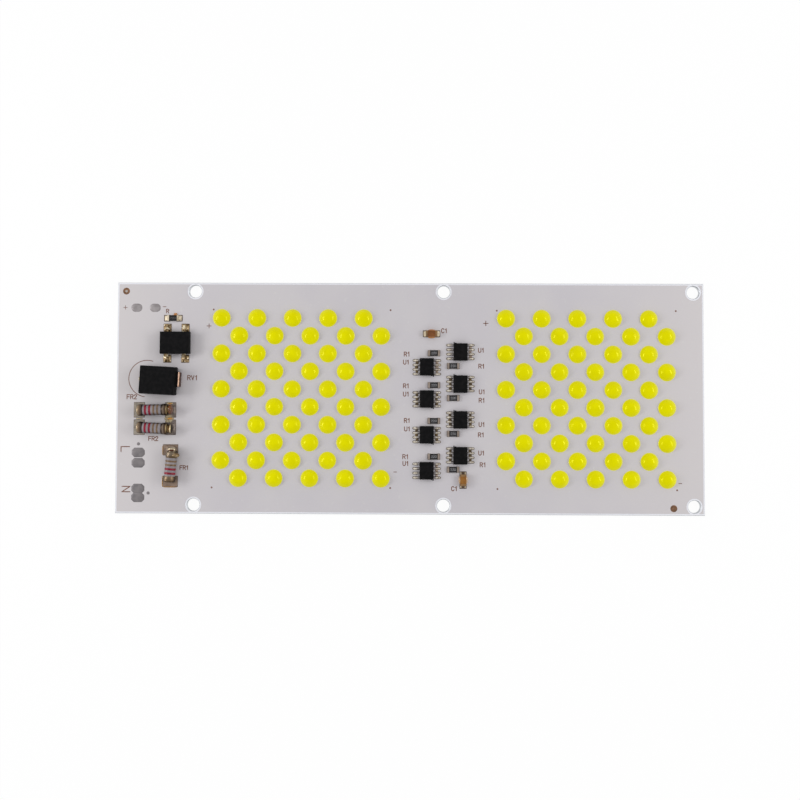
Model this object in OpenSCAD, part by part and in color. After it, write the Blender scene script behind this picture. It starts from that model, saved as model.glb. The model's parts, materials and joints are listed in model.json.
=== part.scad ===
// LED board for a floodlight: an aluminium-core circuit board that carries two fields of
// phosphor domes and the parts that feed them straight from the mains.
// The board lies face up. X runs along it, Y across it, Z up from its bare back.

/* [Board layers] */
// Thickness of the aluminium core
core_t = 1.2; // [0.8:0.1:2]
// Thickness of the insulating layer on the core
dielectric_t = 0.1; // [0.06:0.01:0.2]
// Thickness of the copper foil
copper_t = 0.035; // [0.018:0.001:0.105]
// Thickness of the white mask above the copper
mask_t = 0.03; // [0.02:0.005:0.06]
// Thickness of the tin on bare lands
tin_t = 0.02; // [0.005:0.005:0.03]
// Depth of the scored groove that leaves a bevel along each edge
score_depth = 0.35; // [0.1:0.05:0.38]
// Width of that bevel, seen from above
score_width = 0.2; // [0.1:0.05:0.4]
// Distance that the mask stays back from the edges and the screw holes
mask_pullback = 0.55; // [0.3:0.05:1]

/* [Board zones] */
// From the left edge to the first column of domes, room for the mains parts
driver_zone_w = 29.5; // [27:0.5:40]
// From the last column of the left field to the first of the right one
chip_zone_w = 35; // [28:0.5:50]
// From the last column of domes to the right edge
end_margin = 10.5; // [8:0.5:20]
// From the outer rows of domes to the long edges
side_margin = 10; // [8:0.5:20]
// From the outermost driver parts to the long edges
driver_margin = 2.5; // [1.5:0.25:8]

/* [Screw holes] */
// Diameter of the screw holes
hole_d = 3.5; // [2.5:0.1:4]
// From the right edge to the last holes
hole_edge_x = 3; // [2.6:0.1:6]
// From the long edges to the holes
hole_edge_y = 2.5; // [2.4:0.1:5]
// Width of the deburred rim of each hole
hole_deburr = 0.15; // [0.05:0.05:0.3]

/* [LED fields] */
// Domes in one row
led_cols = 5; // [3:1:6]
// Rows of domes in one field
led_rows = 10; // [4:2:10]
// Distance between the domes of one row
led_pitch = 10; // [8:0.25:14]
// Distance between rows, each shifted by half a pitch
row_pitch = 5; // [4.5:0.25:8]
// Diameter of a phosphor dome on the mask
dome_d = 5; // [3.6:0.1:5.6]
// Height of a dome above the mask
dome_h = 1.6; // [1:0.1:2.2]
// Diameter of the window in the mask under a dome
window_d = 2.8; // [2.2:0.1:3.4]
// Side of the light-emitting die
die_w = 1.1; // [0.6:0.05:1.4]
// Thickness of the die
die_t = 0.2; // [0.1:0.02:0.4]
// Gap between the two copper lands under a die
die_land_gap = 0.3; // [0.2:0.05:0.5]
// Distance that the lands reach under the mask
land_lap = 0.4; // [0.1:0.05:0.6]
// Width of the copper link from one die to the next
link_w = 1.4; // [0.6:0.1:2]
// Width of the copper bus along each side of a field
bus_w = 2.4; // [1:0.1:3]
// From the outer column of domes to the middle of its bus
bus_offset = 4.4; // [4:0.1:6]

/* [Driver chips] */
// Length of a chip's body, along its rows of leads
chip_l = 4.9; // [4.6:0.1:5.4]
// Width of a chip's body
chip_w = 3.9; // [3.4:0.1:4.4]
// Height of a chip's body
chip_h = 1.45; // [1:0.05:1.8]
// Air under a chip's body
chip_standoff = 0.15; // [0.05:0.05:0.3]
// Leads along one side of a chip
chip_leads = 4; // [2:1:4]
// Distance between leads
chip_lead_pitch = 1.27; // [1.1:0.01:1.4]
// Width of a lead
chip_lead_w = 0.42; // [0.3:0.02:0.5]
// Thickness of a lead
chip_lead_t = 0.2; // [0.12:0.02:0.25]
// From tip to tip of the leads across a chip
chip_span = 6; // [5.8:0.1:6.6]
// Straight length of a lead's foot
chip_foot = 0.4; // [0.25:0.05:0.5]
// From end to end of the oval lands across a chip
chip_land_span = 7.9; // [7.4:0.1:9]
// Length of an oval land
chip_land_l = 2.2; // [1.8:0.1:2.4]
// Width of an oval land
chip_land_w = 0.66; // [0.5:0.02:0.8]
// Height of the first right-hand chip above the board's middle
chip_top_y = 13; // [11:0.5:15]
// From the first chip of a column to the second
chip_first_pitch = 9; // [8.8:0.1:11]
// From each later chip of a column to the next
chip_pitch = 10; // [8.8:0.1:11]
// Distance by which the left column sits lower than the right one
chip_stagger = 4.2; // [3:0.1:5]
// Gap between the lands of the two columns
column_gap = 1.5; // [0.8:0.1:4]
// Width of the stub that the mould's gate leaves at one end of a chip
gate_w = 0.4; // [0.2:0.05:0.6]
// Distance that the stub stands out
gate_reach = 0.14; // [0.05:0.01:0.25]

/* [Chip resistors and capacitors] */
// Length of a chip resistor
resistor_l = 3.2; // [2.8:0.1:3.4]
// Width of a chip resistor
resistor_w = 1.6; // [1.2:0.1:1.8]
// Height of a chip resistor
resistor_h = 0.55; // [0.4:0.05:0.8]
// Length of the metal ends of a chip resistor
resistor_end = 0.5; // [0.3:0.05:0.7]
// From end to end of the lands under a sense resistor
sense_land_span = 3.4; // [3.3:0.1:4.4]
// Place of a sense resistor off its chip's middle
sense_shift = 2; // [1.6:0.05:2.2]
// Gap between a chip and its sense resistor
sense_gap = 0.65; // [0.4:0.05:0.8]
// From end to end of the lands under the bleed resistor
bleed_land_span = 5; // [4.2:0.1:5.6]
// Place of the bleed resistor left of the rectifier's middle
bleed_shift = 0.95; // [-1:0.05:1.5]
// Length of a capacitor
cap_l = 3.2; // [2.8:0.1:3.6]
// Width of a capacitor
cap_w = 1.7; // [1.2:0.1:2.2]
// Height of a capacitor
cap_h = 1.4; // [0.8:0.1:2]
// Length of the metal ends of a capacitor
cap_end = 0.55; // [0.3:0.05:0.8]
// From end to end of the lands under a capacitor
cap_land_span = 4.6; // [4:0.1:5.6]
// Gap between the first row of chips and the upper capacitor
upper_cap_gap = 1.85; // [1:0.05:4]
// Gap between the last row of chips and the lower capacitor
lower_cap_gap = 2.05; // [1:0.05:3]
// Place of the upper capacitor left of the chip zone's middle
upper_cap_x = 3.4; // [0:0.1:8]
// Place of the lower capacitor right of the chip zone's middle
lower_cap_x = 5.5; // [0:0.1:8]
// Thickness of the metal on the ends of resistors and capacitors
end_metal_t = 0.04; // [0.02:0.01:0.08]
// Distance that these lands reach in under a part
land_under = 0.7; // [0.4:0.05:0.9]

/* [Bridge rectifier] */
// Length of the rectifier's body
bridge_l = 8.3; // [7.6:0.1:9]
// Width of the body, from lead side to lead side
bridge_w = 6.3; // [5.6:0.1:6.8]
// Height of the body
bridge_h = 2.5; // [1.6:0.1:3]
// Air under the body
bridge_standoff = 0.15; // [0.05:0.05:0.3]
// Distance between leads on one side
bridge_lead_pitch = 5.05; // [4.4:0.05:5.6]
// Width of a lead
bridge_lead_w = 1.1; // [0.8:0.05:1.3]
// Thickness of a lead
bridge_lead_t = 0.25; // [0.15:0.01:0.3]
// From tip to tip of the leads
bridge_span = 9.9; // [9.2:0.1:10.4]
// Straight length of a lead's foot
bridge_foot = 0.9; // [0.6:0.05:1]
// Side of the square lands
bridge_land = 2.2; // [1.8:0.05:2.4]
// From end to end of the lands
bridge_land_span = 10.9; // [10.5:0.1:12]
// From the left edge to the middle of the rectifier
bridge_x = 16.8; // [14:0.1:18]

/* [Varistor] */
// Length of the varistor's moulded body
varistor_l = 10; // [8.6:0.1:11]
// Width of the body
varistor_w = 7.9; // [6.4:0.1:8.6]
// Height of the body
varistor_h = 3.7; // [2.4:0.1:4.5]
// Width of the strap terminals
strap_w = 4; // [3:0.1:5]
// Thickness of the strap terminals
strap_t = 0.3; // [0.2:0.02:0.4]
// Distance that a strap stands out of the body
strap_reach = 0.6; // [0.45:0.05:1.2]
// Length of a strap folded under the body
strap_foot = 1.6; // [1:0.1:2.4]
// Places of the straps off the body's middle, along it and across it
strap_shift = [0.25, 0.6];
// Height of the boss in which each strap leaves the body
boss_h = 0.8; // [0.5:0.1:1.2]
// Wall of that boss beside the strap
boss_wall = 0.15; // [0.1:0.05:0.4]
// Gap between the boss and the downward part of the strap
boss_gap = 0.1; // [0.05:0.05:0.2]
// Diameter of the ejector mark on top of the body
ejector_d = 2.4; // [1.5:0.1:4]
// Depth of the ejector mark
ejector_depth = 0.04; // [0.02:0.01:0.1]
// Angle at which the varistor was placed askew
varistor_turn = -3; // [-6:0.5:6]
// From the left edge to the middle of the varistor
varistor_x = 12.4; // [9.5:0.1:14]
// Height of the varistor above the board's middle
varistor_y = 4.7; // [3:0.1:6]

/* [Fusible resistors] */
// Diameter of the coated rod
rod_d = 3; // [2.4:0.1:3.4]
// Length over the end caps
rod_l = 8.5; // [7.8:0.1:9]
// Wall of the pressed end caps
end_cap_wall = 0.16; // [0.1:0.02:0.3]
// Length of an end cap
end_cap_l = 1.7; // [1.2:0.1:2.2]
// Radius round the closed end of a cap
end_cap_round = 0.3; // [0.1:0.05:0.35]
// Diameter of the neck beyond the tail cap
tail_neck_d = 2.2; // [1.6:0.1:2.4]
// Length of that neck
tail_neck_l = 0.3; // [0.2:0.05:0.5]
// Diameter of the knob at the tail
tail_d = 2.8; // [2.4:0.1:3]
// Length of the knob
tail_l = 1; // [0.8:0.05:1.3]
// Length of the lands, along the rod
rod_land_l = 3; // [2.6:0.1:3.4]
// Width of the lands
rod_land_w = 4.2; // [3.6:0.1:5]
// From end to end of the lands
rod_land_span = 11.8; // [11.6:0.1:13]
// Gap between the lands of the two level rods
rod_land_gap = 0.65; // [0.4:0.05:1.5]
// From the left edge to the middle of the level rods
level_rods_x = 11; // [9:0.1:12]
// From the left edge to the upright rod
upright_rod_x = 15.5; // [14:0.1:17]
// Angles at which the upper, lower and upright rods were placed askew
rod_turns = [1.5, -2.5, -5];
// Places of these rods off the middle of their lands, along themselves and across
rod_slips = [[-0.2, 0], [-0.2, -0.25], [-0.25, -0.5]];

/* [Gaps in the column of mains parts] */
// Between the varistor and the rectifier's lands
bridge_gap = 1.2; // [0.8:0.05:3]
// Between the rectifier's lands and the bleed resistor
bleed_gap = 0.8; // [0.4:0.05:3]
// Between the bleed resistor and the output lands
output_gap = 1; // [0.6:0.05:3]
// Between the varistor and the first level rod's lands
rods_gap = 2.15; // [1.2:0.05:4]
// Between the level rods' lands and the upright rod's
upright_gap = 2.75; // [1:0.05:4]
// Between the level rods' lands and the live wire's
live_gap = 3.65; // [2.5:0.05:6]
// Between the live wire's lands and the neutral wire's
neutral_gap = 4.5; // [2.5:0.05:6]

/* [Wire lands] */
// Length of a mains wire land
wire_land_l = 3.7; // [3:0.1:5]
// Width of a mains wire land
wire_land_w = 2.7; // [2:0.1:3.5]
// Cut across the corners of a mains wire land
wire_land_chamfer = 0.75; // [0.3:0.05:0.9]
// Gap between the two lands of the live wire
live_land_gap = 0.2; // [0.1:0.05:1]
// Overlap of the two lands of the neutral wire
neutral_land_lap = 0.25; // [0.1:0.05:0.5]
// From the left edge to the middle of the mains wire lands
wire_land_x = 6.45; // [4:0.05:8]
// Diameter of the probe dot beside each pair of lands
dot_d = 0.9; // [0.5:0.05:1.2]
// Gap between a probe dot and its lands
dot_gap = 0.6; // [0.3:0.05:1]
// Length of a direct-current output land
output_land_l = 3.1; // [2.4:0.1:4]
// Width of a direct-current output land
output_land_w = 2.3; // [1.6:0.1:2.3]
// From the left edge to the middle of the first output land
output_land_x = 5.5; // [3.5:0.1:7]
// Distance between the output lands
output_pitch = 5.2; // [4.5:0.1:7]
// Diameter of the placement marks
mark_d = 1.95; // [1:0.05:2.5]
// Diameter of the clear middle of the ring mark
mark_clear_d = 0.7; // [0.4:0.05:0.9]
// Distance that the copper of a mark reaches under the mask
mark_lap = 0.15; // [0.05:0.05:0.3]
// From the left and top edges to the ring mark
ring_mark_edge = 2.5; // [1.8:0.1:4]
// From the right edge to the solid mark
disc_mark_x = 8.8; // [7:0.1:12]
// From the bottom edge to the solid mark
disc_mark_y = 2; // [1.8:0.1:4]

/* [Copper tracks] */
// Width of a copper track
track_w = 1.2; // [0.6:0.1:1.4]
// Width of the tracks at the sense resistors
fine_track_w = 0.8; // [0.4:0.05:0.9]
// Least gap between tracks that stay apart
track_gap = 0.4; // [0.2:0.05:0.5]

/* [Moulded bodies] */
// Draft of the moulded sides
draft = 6; // [0:0.5:10]
// Bevel along the top edges of moulded bodies
body_bevel = 0.12; // [0.05:0.01:0.2]
// Depth of the lead roots inside a moulded body
lead_root = 0.4; // [0.2:0.05:0.8]

/* [Hidden] */
$fn = 48;
channels = 8;
per_column = channels / 2;
sides = ["left", "right"];
strings = ceil(led_rows / 2);
chip_numbers = [1:channels];

field_w = (led_cols - 0.5) * led_pitch;
field_h = (led_rows - 1) * row_pitch;
board_w = driver_zone_w + 2 * field_w + chip_zone_w + end_margin;

wire_pair_l = 2 * wire_land_w + live_land_gap;
neutral_pair_l = 2 * wire_land_w - neutral_land_lap;
bridge_y = varistor_y + (varistor_w + bridge_land_span) / 2 + bridge_gap;
bleed_y = bridge_y + (bridge_land_span + resistor_w) / 2 + bleed_gap;
output_y = bleed_y + (resistor_w + output_land_w) / 2 + output_gap;
upper_rod_y = varistor_y - (varistor_w + rod_land_w) / 2 - rods_gap;
lower_rod_y = upper_rod_y - rod_land_w - rod_land_gap;
rods_foot_y = lower_rod_y - rod_land_w / 2;
upright_rod_y = rods_foot_y - upright_gap - rod_land_span / 2;
live_y = rods_foot_y - live_gap - wire_pair_l / 2;
neutral_y = live_y - (wire_pair_l + neutral_pair_l) / 2 - neutral_gap;
driver_reach = max(output_y + output_land_w / 2, neutral_pair_l / 2 - neutral_y);
board_h = max(field_h + 2 * side_margin, 2 * (driver_reach + driver_margin));

left_x = -board_w / 2;
field_x = [left_x + driver_zone_w, left_x + driver_zone_w + field_w + chip_zone_w];
chip_zone_x = (field_x[0] + field_w + field_x[1]) / 2;
hole_pitch = board_w / 2 - hole_edge_x - chip_zone_x;

dielectric_z = core_t + dielectric_t;
copper_z = dielectric_z + copper_t;
mask_z = copper_z + mask_t;
seat_z = copper_z + tin_t;
dome_r = (pow(dome_d / 2, 2) + pow(dome_h, 2)) / (2 * dome_h);

column_x = (chip_land_span + column_gap) / 2;
sense_y = chip_l / 2 + sense_gap + resistor_w / 2;
last_chip_y = chip_top_y - chip_first_pitch - (per_column - 2) * chip_pitch;
upper_cap_y = chip_top_y + chip_l / 2 + upper_cap_gap + cap_w / 2;
lower_cap_y = last_chip_y - chip_l / 2 - lower_cap_gap - cap_land_span / 2;
strap_tip = varistor_l / 2 + strap_reach;

drain_x = chip_zone_x + column_x + chip_land_span / 2 + track_w + track_gap;
plus_rail_y = field_h / 2 + window_d / 2 + land_lap + track_gap + track_w / 2;
edge_inset = mask_pullback + track_gap + track_w / 2;
ground_rail_y = hole_edge_y + hole_d / 2 + edge_inset - board_h / 2;

rods = [
    [left_x + level_rods_x, upper_rod_y, rod_turns[0], 0],
    [left_x + level_rods_x, lower_rod_y, rod_turns[1], 0],
    [left_x + upright_rod_x, upright_rod_y, rod_turns[2], 90]
];
caps = [
    [chip_zone_x - upper_cap_x, upper_cap_y, 0],
    [chip_zone_x + lower_cap_x, lower_cap_y, 90]
];
cap_names = ["upper_capacitor", "lower_capacitor"];

white = [0.80, 0.79, 0.80];
tin = [0.55, 0.54, 0.54];
copper = [0.62, 0.42, 0.30];
epoxy = [0.10, 0.10, 0.11];
alumina = [0.86, 0.85, 0.82];

function dome_name(side, k) = str(sides[side], "_led_string_", k + 1, "_domes");
function chip_name(i) = str("driver_chip_", i);
function lead_name(i) = str("driver_chip_", i, "_leads");
function sense_name(i) = str("sense_resistor_", i);
function rod_name(i) = str("fusible_resistor_", i + 1);
function rod_cap_name(i) = str("fusible_resistor_", i + 1, "_caps");

// Places of the repeated parts

// Centre of a dome, rows counted from the top
function led_place(side, row, col) =
    [field_x[side] + (col + (row % 2) / 2) * led_pitch, field_h / 2 - row * row_pitch];

// Dome j of a string, which zigzags between two rows from left to right
function string_place(side, k, j) = led_place(side, 2 * k + j % 2, floor(j / 2));

// Height of a chip in the right column, counted from the top
function chip_row_y(row) = row == 0 ? chip_top_y : chip_top_y - chip_first_pitch - (row - 1) * chip_pitch;

// Chips 1 to 4 are the left column, and the rest the right one, which is turned half round
function chip_side(i) = i <= per_column ? 0 : 1;
function chip_row(i) = (i - 1) % per_column;

module at_chip(i) {
    side = chip_side(i);
    y = chip_row_y(chip_row(i)) - (side == 0 ? chip_stagger : 0);
    translate([chip_zone_x + (side == 0 ? -column_x : column_x), y, 0])
        rotate(side == 0 ? 180 : 0) children();
}

module at_sense(i) at_chip(i) translate([-sense_shift, -sense_y, 0]) children();

module at_leds(side, k) {
    for (j = [0:2 * led_cols - 1])
        if (2 * k + j % 2 < led_rows) translate(string_place(side, k, j)) children();
}

module at_holes() {
    for (i = [-1:1]) for (j = [-1, 1])
        translate([chip_zone_x + i * hole_pitch, j * (board_h / 2 - hole_edge_y)]) children();
}

module at_bridge() translate([left_x + bridge_x, bridge_y, 0]) children();

module at_varistor() translate([left_x + varistor_x, varistor_y, 0]) rotate(varistor_turn) children();

module at_bleed() translate([left_x + bridge_x - bleed_shift, bleed_y, 0]) children();

module at_rod_lands(i) translate([rods[i][0], rods[i][1], 0]) rotate(rods[i][3]) children();

// The rods lie on the mask, with their tails to the right or up
module at_rod(i) at_rod_lands(i) rotate(rods[i][2])
    translate(concat(rod_slips[i], mask_z + rod_d / 2 + end_cap_wall)) rotate([0, 90, 0]) children();

module at_cap(i) translate([caps[i][0], caps[i][1], 0]) rotate(caps[i][2]) children();

module both_ways() {
    children();
    rotate(180) children();
}

// Flat shapes of the lands

// A bar with round ends
module oval(l, w) {
    if (l > w) square([l - w, w], center = true);
    for (s = [-1, 1]) translate([s * (l - w) / 2, 0]) circle(d = w);
}

module wire_land() {
    x = wire_land_l / 2;
    y = wire_land_w / 2;
    c = wire_land_chamfer;
    polygon([[x, y - c], [x - c, y], [c - x, y], [-x, y - c],
        [-x, c - y], [c - x, -y], [x - c, -y], [x, c - y]]);
}

module wire_pair(pitch) {
    for (s = [-1, 1]) translate([0, s * pitch / 2]) wire_land();
}

// Two lands under a two-ended part, from end to end span apart
module end_lands(span, l, w) {
    for (s = [-1, 1]) translate([s * (span - l) / 2, 0]) square([l, w], center = true);
}

module chip_lands() {
    for (s = [-1, 1]) for (n = [0:chip_leads - 1])
        translate([s * (chip_land_span - chip_land_l) / 2, (n - (chip_leads - 1) / 2) * chip_lead_pitch])
            oval(chip_land_l, chip_land_w);
}

module bridge_lands() {
    for (s = [-1, 1]) for (n = [-1, 1])
        translate([n * bridge_lead_pitch / 2, s * (bridge_land_span - bridge_land) / 2])
            square(bridge_land, center = true);
}

// Length of the land that reaches from the end of a span to just under a part
function end_land_l(span, part_l) = (span - part_l) / 2 + land_under;

module driver_lands() {
    translate([left_x + wire_land_x, live_y]) {
        wire_pair(wire_land_w + live_land_gap);
        translate([0, (wire_pair_l + dot_d) / 2 + dot_gap]) circle(d = dot_d);
    }
    translate([left_x + wire_land_x, neutral_y]) {
        wire_pair(wire_land_w - neutral_land_lap);
        translate([(wire_land_l + dot_d) / 2 + dot_gap, 0]) circle(d = dot_d);
    }
    for (n = [0, 1]) translate([left_x + output_land_x + n * output_pitch, output_y])
        oval(output_land_l, output_land_w);
    for (i = [0:len(rods) - 1]) at_rod_lands(i) end_lands(rod_land_span, rod_land_l, rod_land_w);
    at_varistor() translate(strap_shift) end_lands(2 * strap_tip, strap_reach + strap_foot, strap_w);
    at_bridge() bridge_lands();
    at_bleed() end_lands(bleed_land_span, end_land_l(bleed_land_span, resistor_l), resistor_w);
}

module chip_zone_lands() {
    for (i = chip_numbers) {
        at_chip(i) chip_lands();
        at_sense(i) end_lands(sense_land_span, end_land_l(sense_land_span, resistor_l), resistor_w);
    }
    for (i = [0:len(caps) - 1])
        at_cap(i) end_lands(cap_land_span, end_land_l(cap_land_span, cap_l), cap_w);
}

module soldered_lands() {
    driver_lands();
    chip_zone_lands();
}

module at_ring_mark() translate([left_x + ring_mark_edge, board_h / 2 - ring_mark_edge]) children();

module at_disc_mark() translate([board_w / 2 - disc_mark_x, disc_mark_y - board_h / 2]) children();

module placement_marks() {
    at_ring_mark() difference() {
        circle(d = mark_d + 2 * mark_lap);
        circle(d = mark_clear_d);
    }
    at_disc_mark() circle(d = mark_d + 2 * mark_lap);
}

module mark_windows() {
    at_ring_mark() circle(d = mark_d);
    at_disc_mark() circle(d = mark_d);
}

// Copper under the mask

// A straight track with round ends
module track(from, to, w = track_w) {
    run = to - from;
    translate((from + to) / 2) rotate(atan2(run[1], run[0])) oval(norm(run) + w, w);
}

module route(points, w = track_w) {
    for (n = [1:len(points) - 1]) track(points[n - 1], points[n], w);
}

// Two lands under each die, linked from the right land of one die to the left land of the next
module string_copper(side, k) {
    reach = window_d / 2 + land_lap;
    at_leds(side, k) difference() {
        circle(r = reach);
        square([die_land_gap, 2 * reach + 1], center = true);
    }
    shift = [reach - link_w / 2, 0];
    for (j = [1:2 * led_cols - 1])
        if (2 * k + 1 < led_rows)
            track(string_place(side, k, j - 1) + shift, string_place(side, k, j) - shift, link_w);
    first = string_place(side, k, 0);
    last = string_place(side, k, 2 * led_cols - 1);
    track([field_x[side] - bus_offset, first[1]], first - shift, link_w);
    track(last + shift, [field_x[side] + field_w + bus_offset, last[1]], link_w);
}

module field_copper(side) {
    for (k = [0:strings - 1]) string_copper(side, k);
    for (x = [-bus_offset, field_w + bus_offset])
        translate([field_x[side] + x, 0]) square([bus_w, field_h], center = true);
}

// Mains wires to the rods, the varistor and the rectifier
module mains_copper() {
    wires = left_x + wire_land_x;
    rod_end = (rod_land_span - rod_land_l) / 2;
    rods_mid = left_x + level_rods_x;
    upright = left_x + upright_rod_x;
    strap_left = left_x + varistor_x - varistor_l / 2;
    bridge_left = left_x + bridge_x - bridge_lead_pitch / 2;
    bridge_right = left_x + bridge_x + bridge_lead_pitch / 2;
    bridge_low = bridge_y - (bridge_land_span - bridge_land) / 2;
    track([wires, live_y], [wires, live_y + (wire_pair_l + dot_d) / 2 + dot_gap], fine_track_w);
    route([[wires, live_y], [rods_mid - rod_end, lower_rod_y], [rods_mid - rod_end, upper_rod_y]]);
    route([[rods_mid + rod_end, lower_rod_y], [rods_mid + rod_end, upper_rod_y],
        [bridge_right, varistor_y], [bridge_right, bridge_low]]);
    track([strap_left + varistor_l, varistor_y], [bridge_right, varistor_y]);
    track([wires, neutral_y], [wires + (wire_land_l + dot_d) / 2 + dot_gap, neutral_y], fine_track_w);
    track([wires, neutral_y + (wire_land_w - neutral_land_lap) / 2], [upright, upright_rod_y - rod_end]);
    route([[upright, upright_rod_y + rod_end], [rods_mid, rods_foot_y - track_w], [rods_mid, upper_rod_y],
        [strap_left, varistor_y], [strap_left, bridge_low], [bridge_left, bridge_low]]);
}

// The rectifier's positive side, over the top of the left field to both fields' first buses
module plus_copper() {
    bridge_left = left_x + bridge_x - bridge_lead_pitch / 2;
    bridge_high = bridge_y + (bridge_land_span - bridge_land) / 2;
    bleed_left = left_x + bridge_x - bleed_shift - (bleed_land_span - resistor_end) / 2;
    plus_x = left_x + output_land_x;
    buses = [field_x[0] - bus_offset, field_x[1] - bus_offset];
    cap_left = caps[0][0] - (cap_land_span - cap_end) / 2;
    route([[buses[0], bridge_y], [bridge_left, bridge_y], [bridge_left, bridge_high], [bleed_left, bleed_y],
        [plus_x + output_pitch / 2, bleed_y], [plus_x, output_y]]);
    route([[buses[0], field_h / 2], [buses[0], plus_rail_y],
        [buses[1], plus_rail_y], [buses[1], field_h / 2]]);
    track([cap_left, upper_cap_y], [cap_left, plus_rail_y]);
}

// Its negative side, round the left end and along the bottom to the spine between the chips
module ground_copper() {
    bridge_right = left_x + bridge_x + bridge_lead_pitch / 2;
    bridge_high = bridge_y + (bridge_land_span - bridge_land) / 2;
    bleed_right = left_x + bridge_x - bleed_shift + (bleed_land_span - resistor_end) / 2;
    minus_x = left_x + output_land_x + output_pitch;
    over_y = output_y + (output_land_w + track_w) / 2 + track_gap;
    edge_x = left_x + edge_inset;
    edge_y = edge_inset - board_h / 2;
    riser_x = left_x + wire_land_x + wire_land_l / 2 + dot_gap + dot_d + track_gap + track_w / 2;
    cap_end_y = lower_cap_y + (cap_land_span - end_land_l(cap_land_span, cap_l)) / 2;
    route([[bridge_right, bridge_high], [bleed_right, bleed_y], [minus_x, output_y], [minus_x, over_y],
        [edge_x, over_y], [edge_x, edge_y], [riser_x, edge_y], [riser_x, ground_rail_y],
        [chip_zone_x, ground_rail_y], [chip_zone_x, upper_cap_y], [caps[0][0] + cap_l / 2, upper_cap_y]]);
    track([chip_zone_x, cap_end_y], [caps[1][0], cap_end_y], fine_track_w);
}

// Right-hand drains, along the bottom to the right field's last bus
module drain_copper() {
    last_bus = field_x[1] + field_w + bus_offset;
    cap_end_y = lower_cap_y - (cap_land_span - cap_end) / 2;
    route([[drain_x, chip_top_y], [drain_x, ground_rail_y],
        [last_bus, ground_rail_y], [last_bus, -field_h / 2]]);
    track([caps[1][0], cap_end_y], [drain_x, cap_end_y], fine_track_w);
}

// A chip's outer leads to the drain of its side, its inner ones to the spine, and one to its resistor
module chip_copper(i) {
    lead_y = [for (n = [0:chip_leads - 1]) (n - (chip_leads - 1) / 2) * chip_lead_pitch];
    last_y = lead_y[chip_leads - 1];
    tip = chip_land_span / 2;
    left_bus = chip_zone_w / 2 - bus_offset - column_x;
    sense_end = (sense_land_span - end_land_l(sense_land_span, resistor_l)) / 2;
    under_y = -sense_y - resistor_w / 2 - track_gap - fine_track_w / 2;
    at_chip(i) {
        track([tip, lead_y[0]], [tip, last_y]);
        track([tip, 0], [chip_side(i) == 0 ? left_bus : drain_x - chip_zone_x - column_x, 0]);
        track([-tip, lead_y[1]], [-tip, last_y]);
        track([-tip, last_y], [-column_x, last_y]);
        track([-sense_shift - sense_end, lead_y[0]], [-sense_shift - sense_end, -sense_y], fine_track_w);
        route([[sense_end - sense_shift, -sense_y], [sense_end - sense_shift, under_y], [-column_x, under_y]],
            fine_track_w);
    }
}

module copper_shape() {
    soldered_lands();
    placement_marks();
    for (side = [0, 1]) field_copper(side);
    mains_copper();
    plus_copper();
    ground_copper();
    drain_copper();
    for (i = chip_numbers) chip_copper(i);
}

// Board layers

module board_shape(inset, hole_gap) {
    difference() {
        square([board_w - 2 * inset, board_h - 2 * inset], center = true);
        at_holes() circle(d = hole_d + 2 * hole_gap);
    }
}

// Section of a plate whose edges carry a scored bevel above and below
module scored_section(w) {
    x = w / 2;
    polygon([[score_width - x, 0], [x - score_width, 0], [x, score_depth], [x, core_t - score_depth],
        [x - score_width, core_t], [score_width - x, core_t], [-x, core_t - score_depth], [-x, score_depth]]);
}

module aluminium_core() color([0.78, 0.80, 0.82]) difference() {
    intersection() {
        rotate([90, 0, 0]) linear_extrude(board_h, center = true) scored_section(board_w);
        rotate([90, 0, 90]) linear_extrude(board_w, center = true) scored_section(board_h);
    }
    at_holes() {
        translate([0, 0, -1]) cylinder(d = hole_d, h = core_t + 2);
        translate([0, 0, core_t / 2]) for (turn = [0, 180]) rotate([turn, 0, 0])
            translate([0, 0, core_t / 2 - hole_deburr])
                cylinder(d1 = hole_d, d2 = hole_d + 2 * hole_deburr, h = hole_deburr);
    }
}

module dielectric_layer() color([0.84, 0.86, 0.90])
    translate([0, 0, core_t]) linear_extrude(dielectric_t) board_shape(score_width, hole_deburr);

module copper_circuit() color(copper)
    translate([0, 0, dielectric_z]) linear_extrude(copper_t) copper_shape();

// White mask: it fills the gaps in the copper and covers it, with windows at lands and dies
module white_solder_mask() color(white) difference() {
    translate([0, 0, dielectric_z]) linear_extrude(copper_t + mask_t) mask_shape();
    copper_circuit();
}

module mask_shape() {
    difference() {
        board_shape(mask_pullback, mask_pullback);
        soldered_lands();
        mark_windows();
        for (side = [0, 1]) for (k = [0:strings - 1]) at_leds(side, k) circle(d = window_d);
    }
}

module tinned_lands() color(tin)
    translate([0, 0, copper_z]) linear_extrude(tin_t) soldered_lands();

// Dies and domes

module led_die(side, k) at_leds(side, k)
    translate([-die_w / 2, -die_w / 2, copper_z]) cube([die_w, die_w, die_t]);

module led_dies(side) color([0.75, 0.80, 0.95]) for (k = [0:strings - 1]) led_die(side, k);

// A cap of a sphere on the mask, with a plug that fills the window around the die
module dome() {
    intersection() {
        translate([0, 0, mask_z + dome_h - dome_r]) sphere(dome_r);
        translate([0, 0, mask_z]) cylinder(d = dome_d + 1, h = dome_h + 1);
    }
    translate([0, 0, copper_z]) cylinder(d = window_d, h = mask_t + dome_h / 2);
}

module dome_string(side, k) color([0.87, 0.84, 0.02]) difference() {
    at_leds(side, k) dome();
    led_die(side, k);
}

// Moulded bodies and formed leads

function drafted(half, z, split) = half - abs(z - split) * tan(draft);

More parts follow.
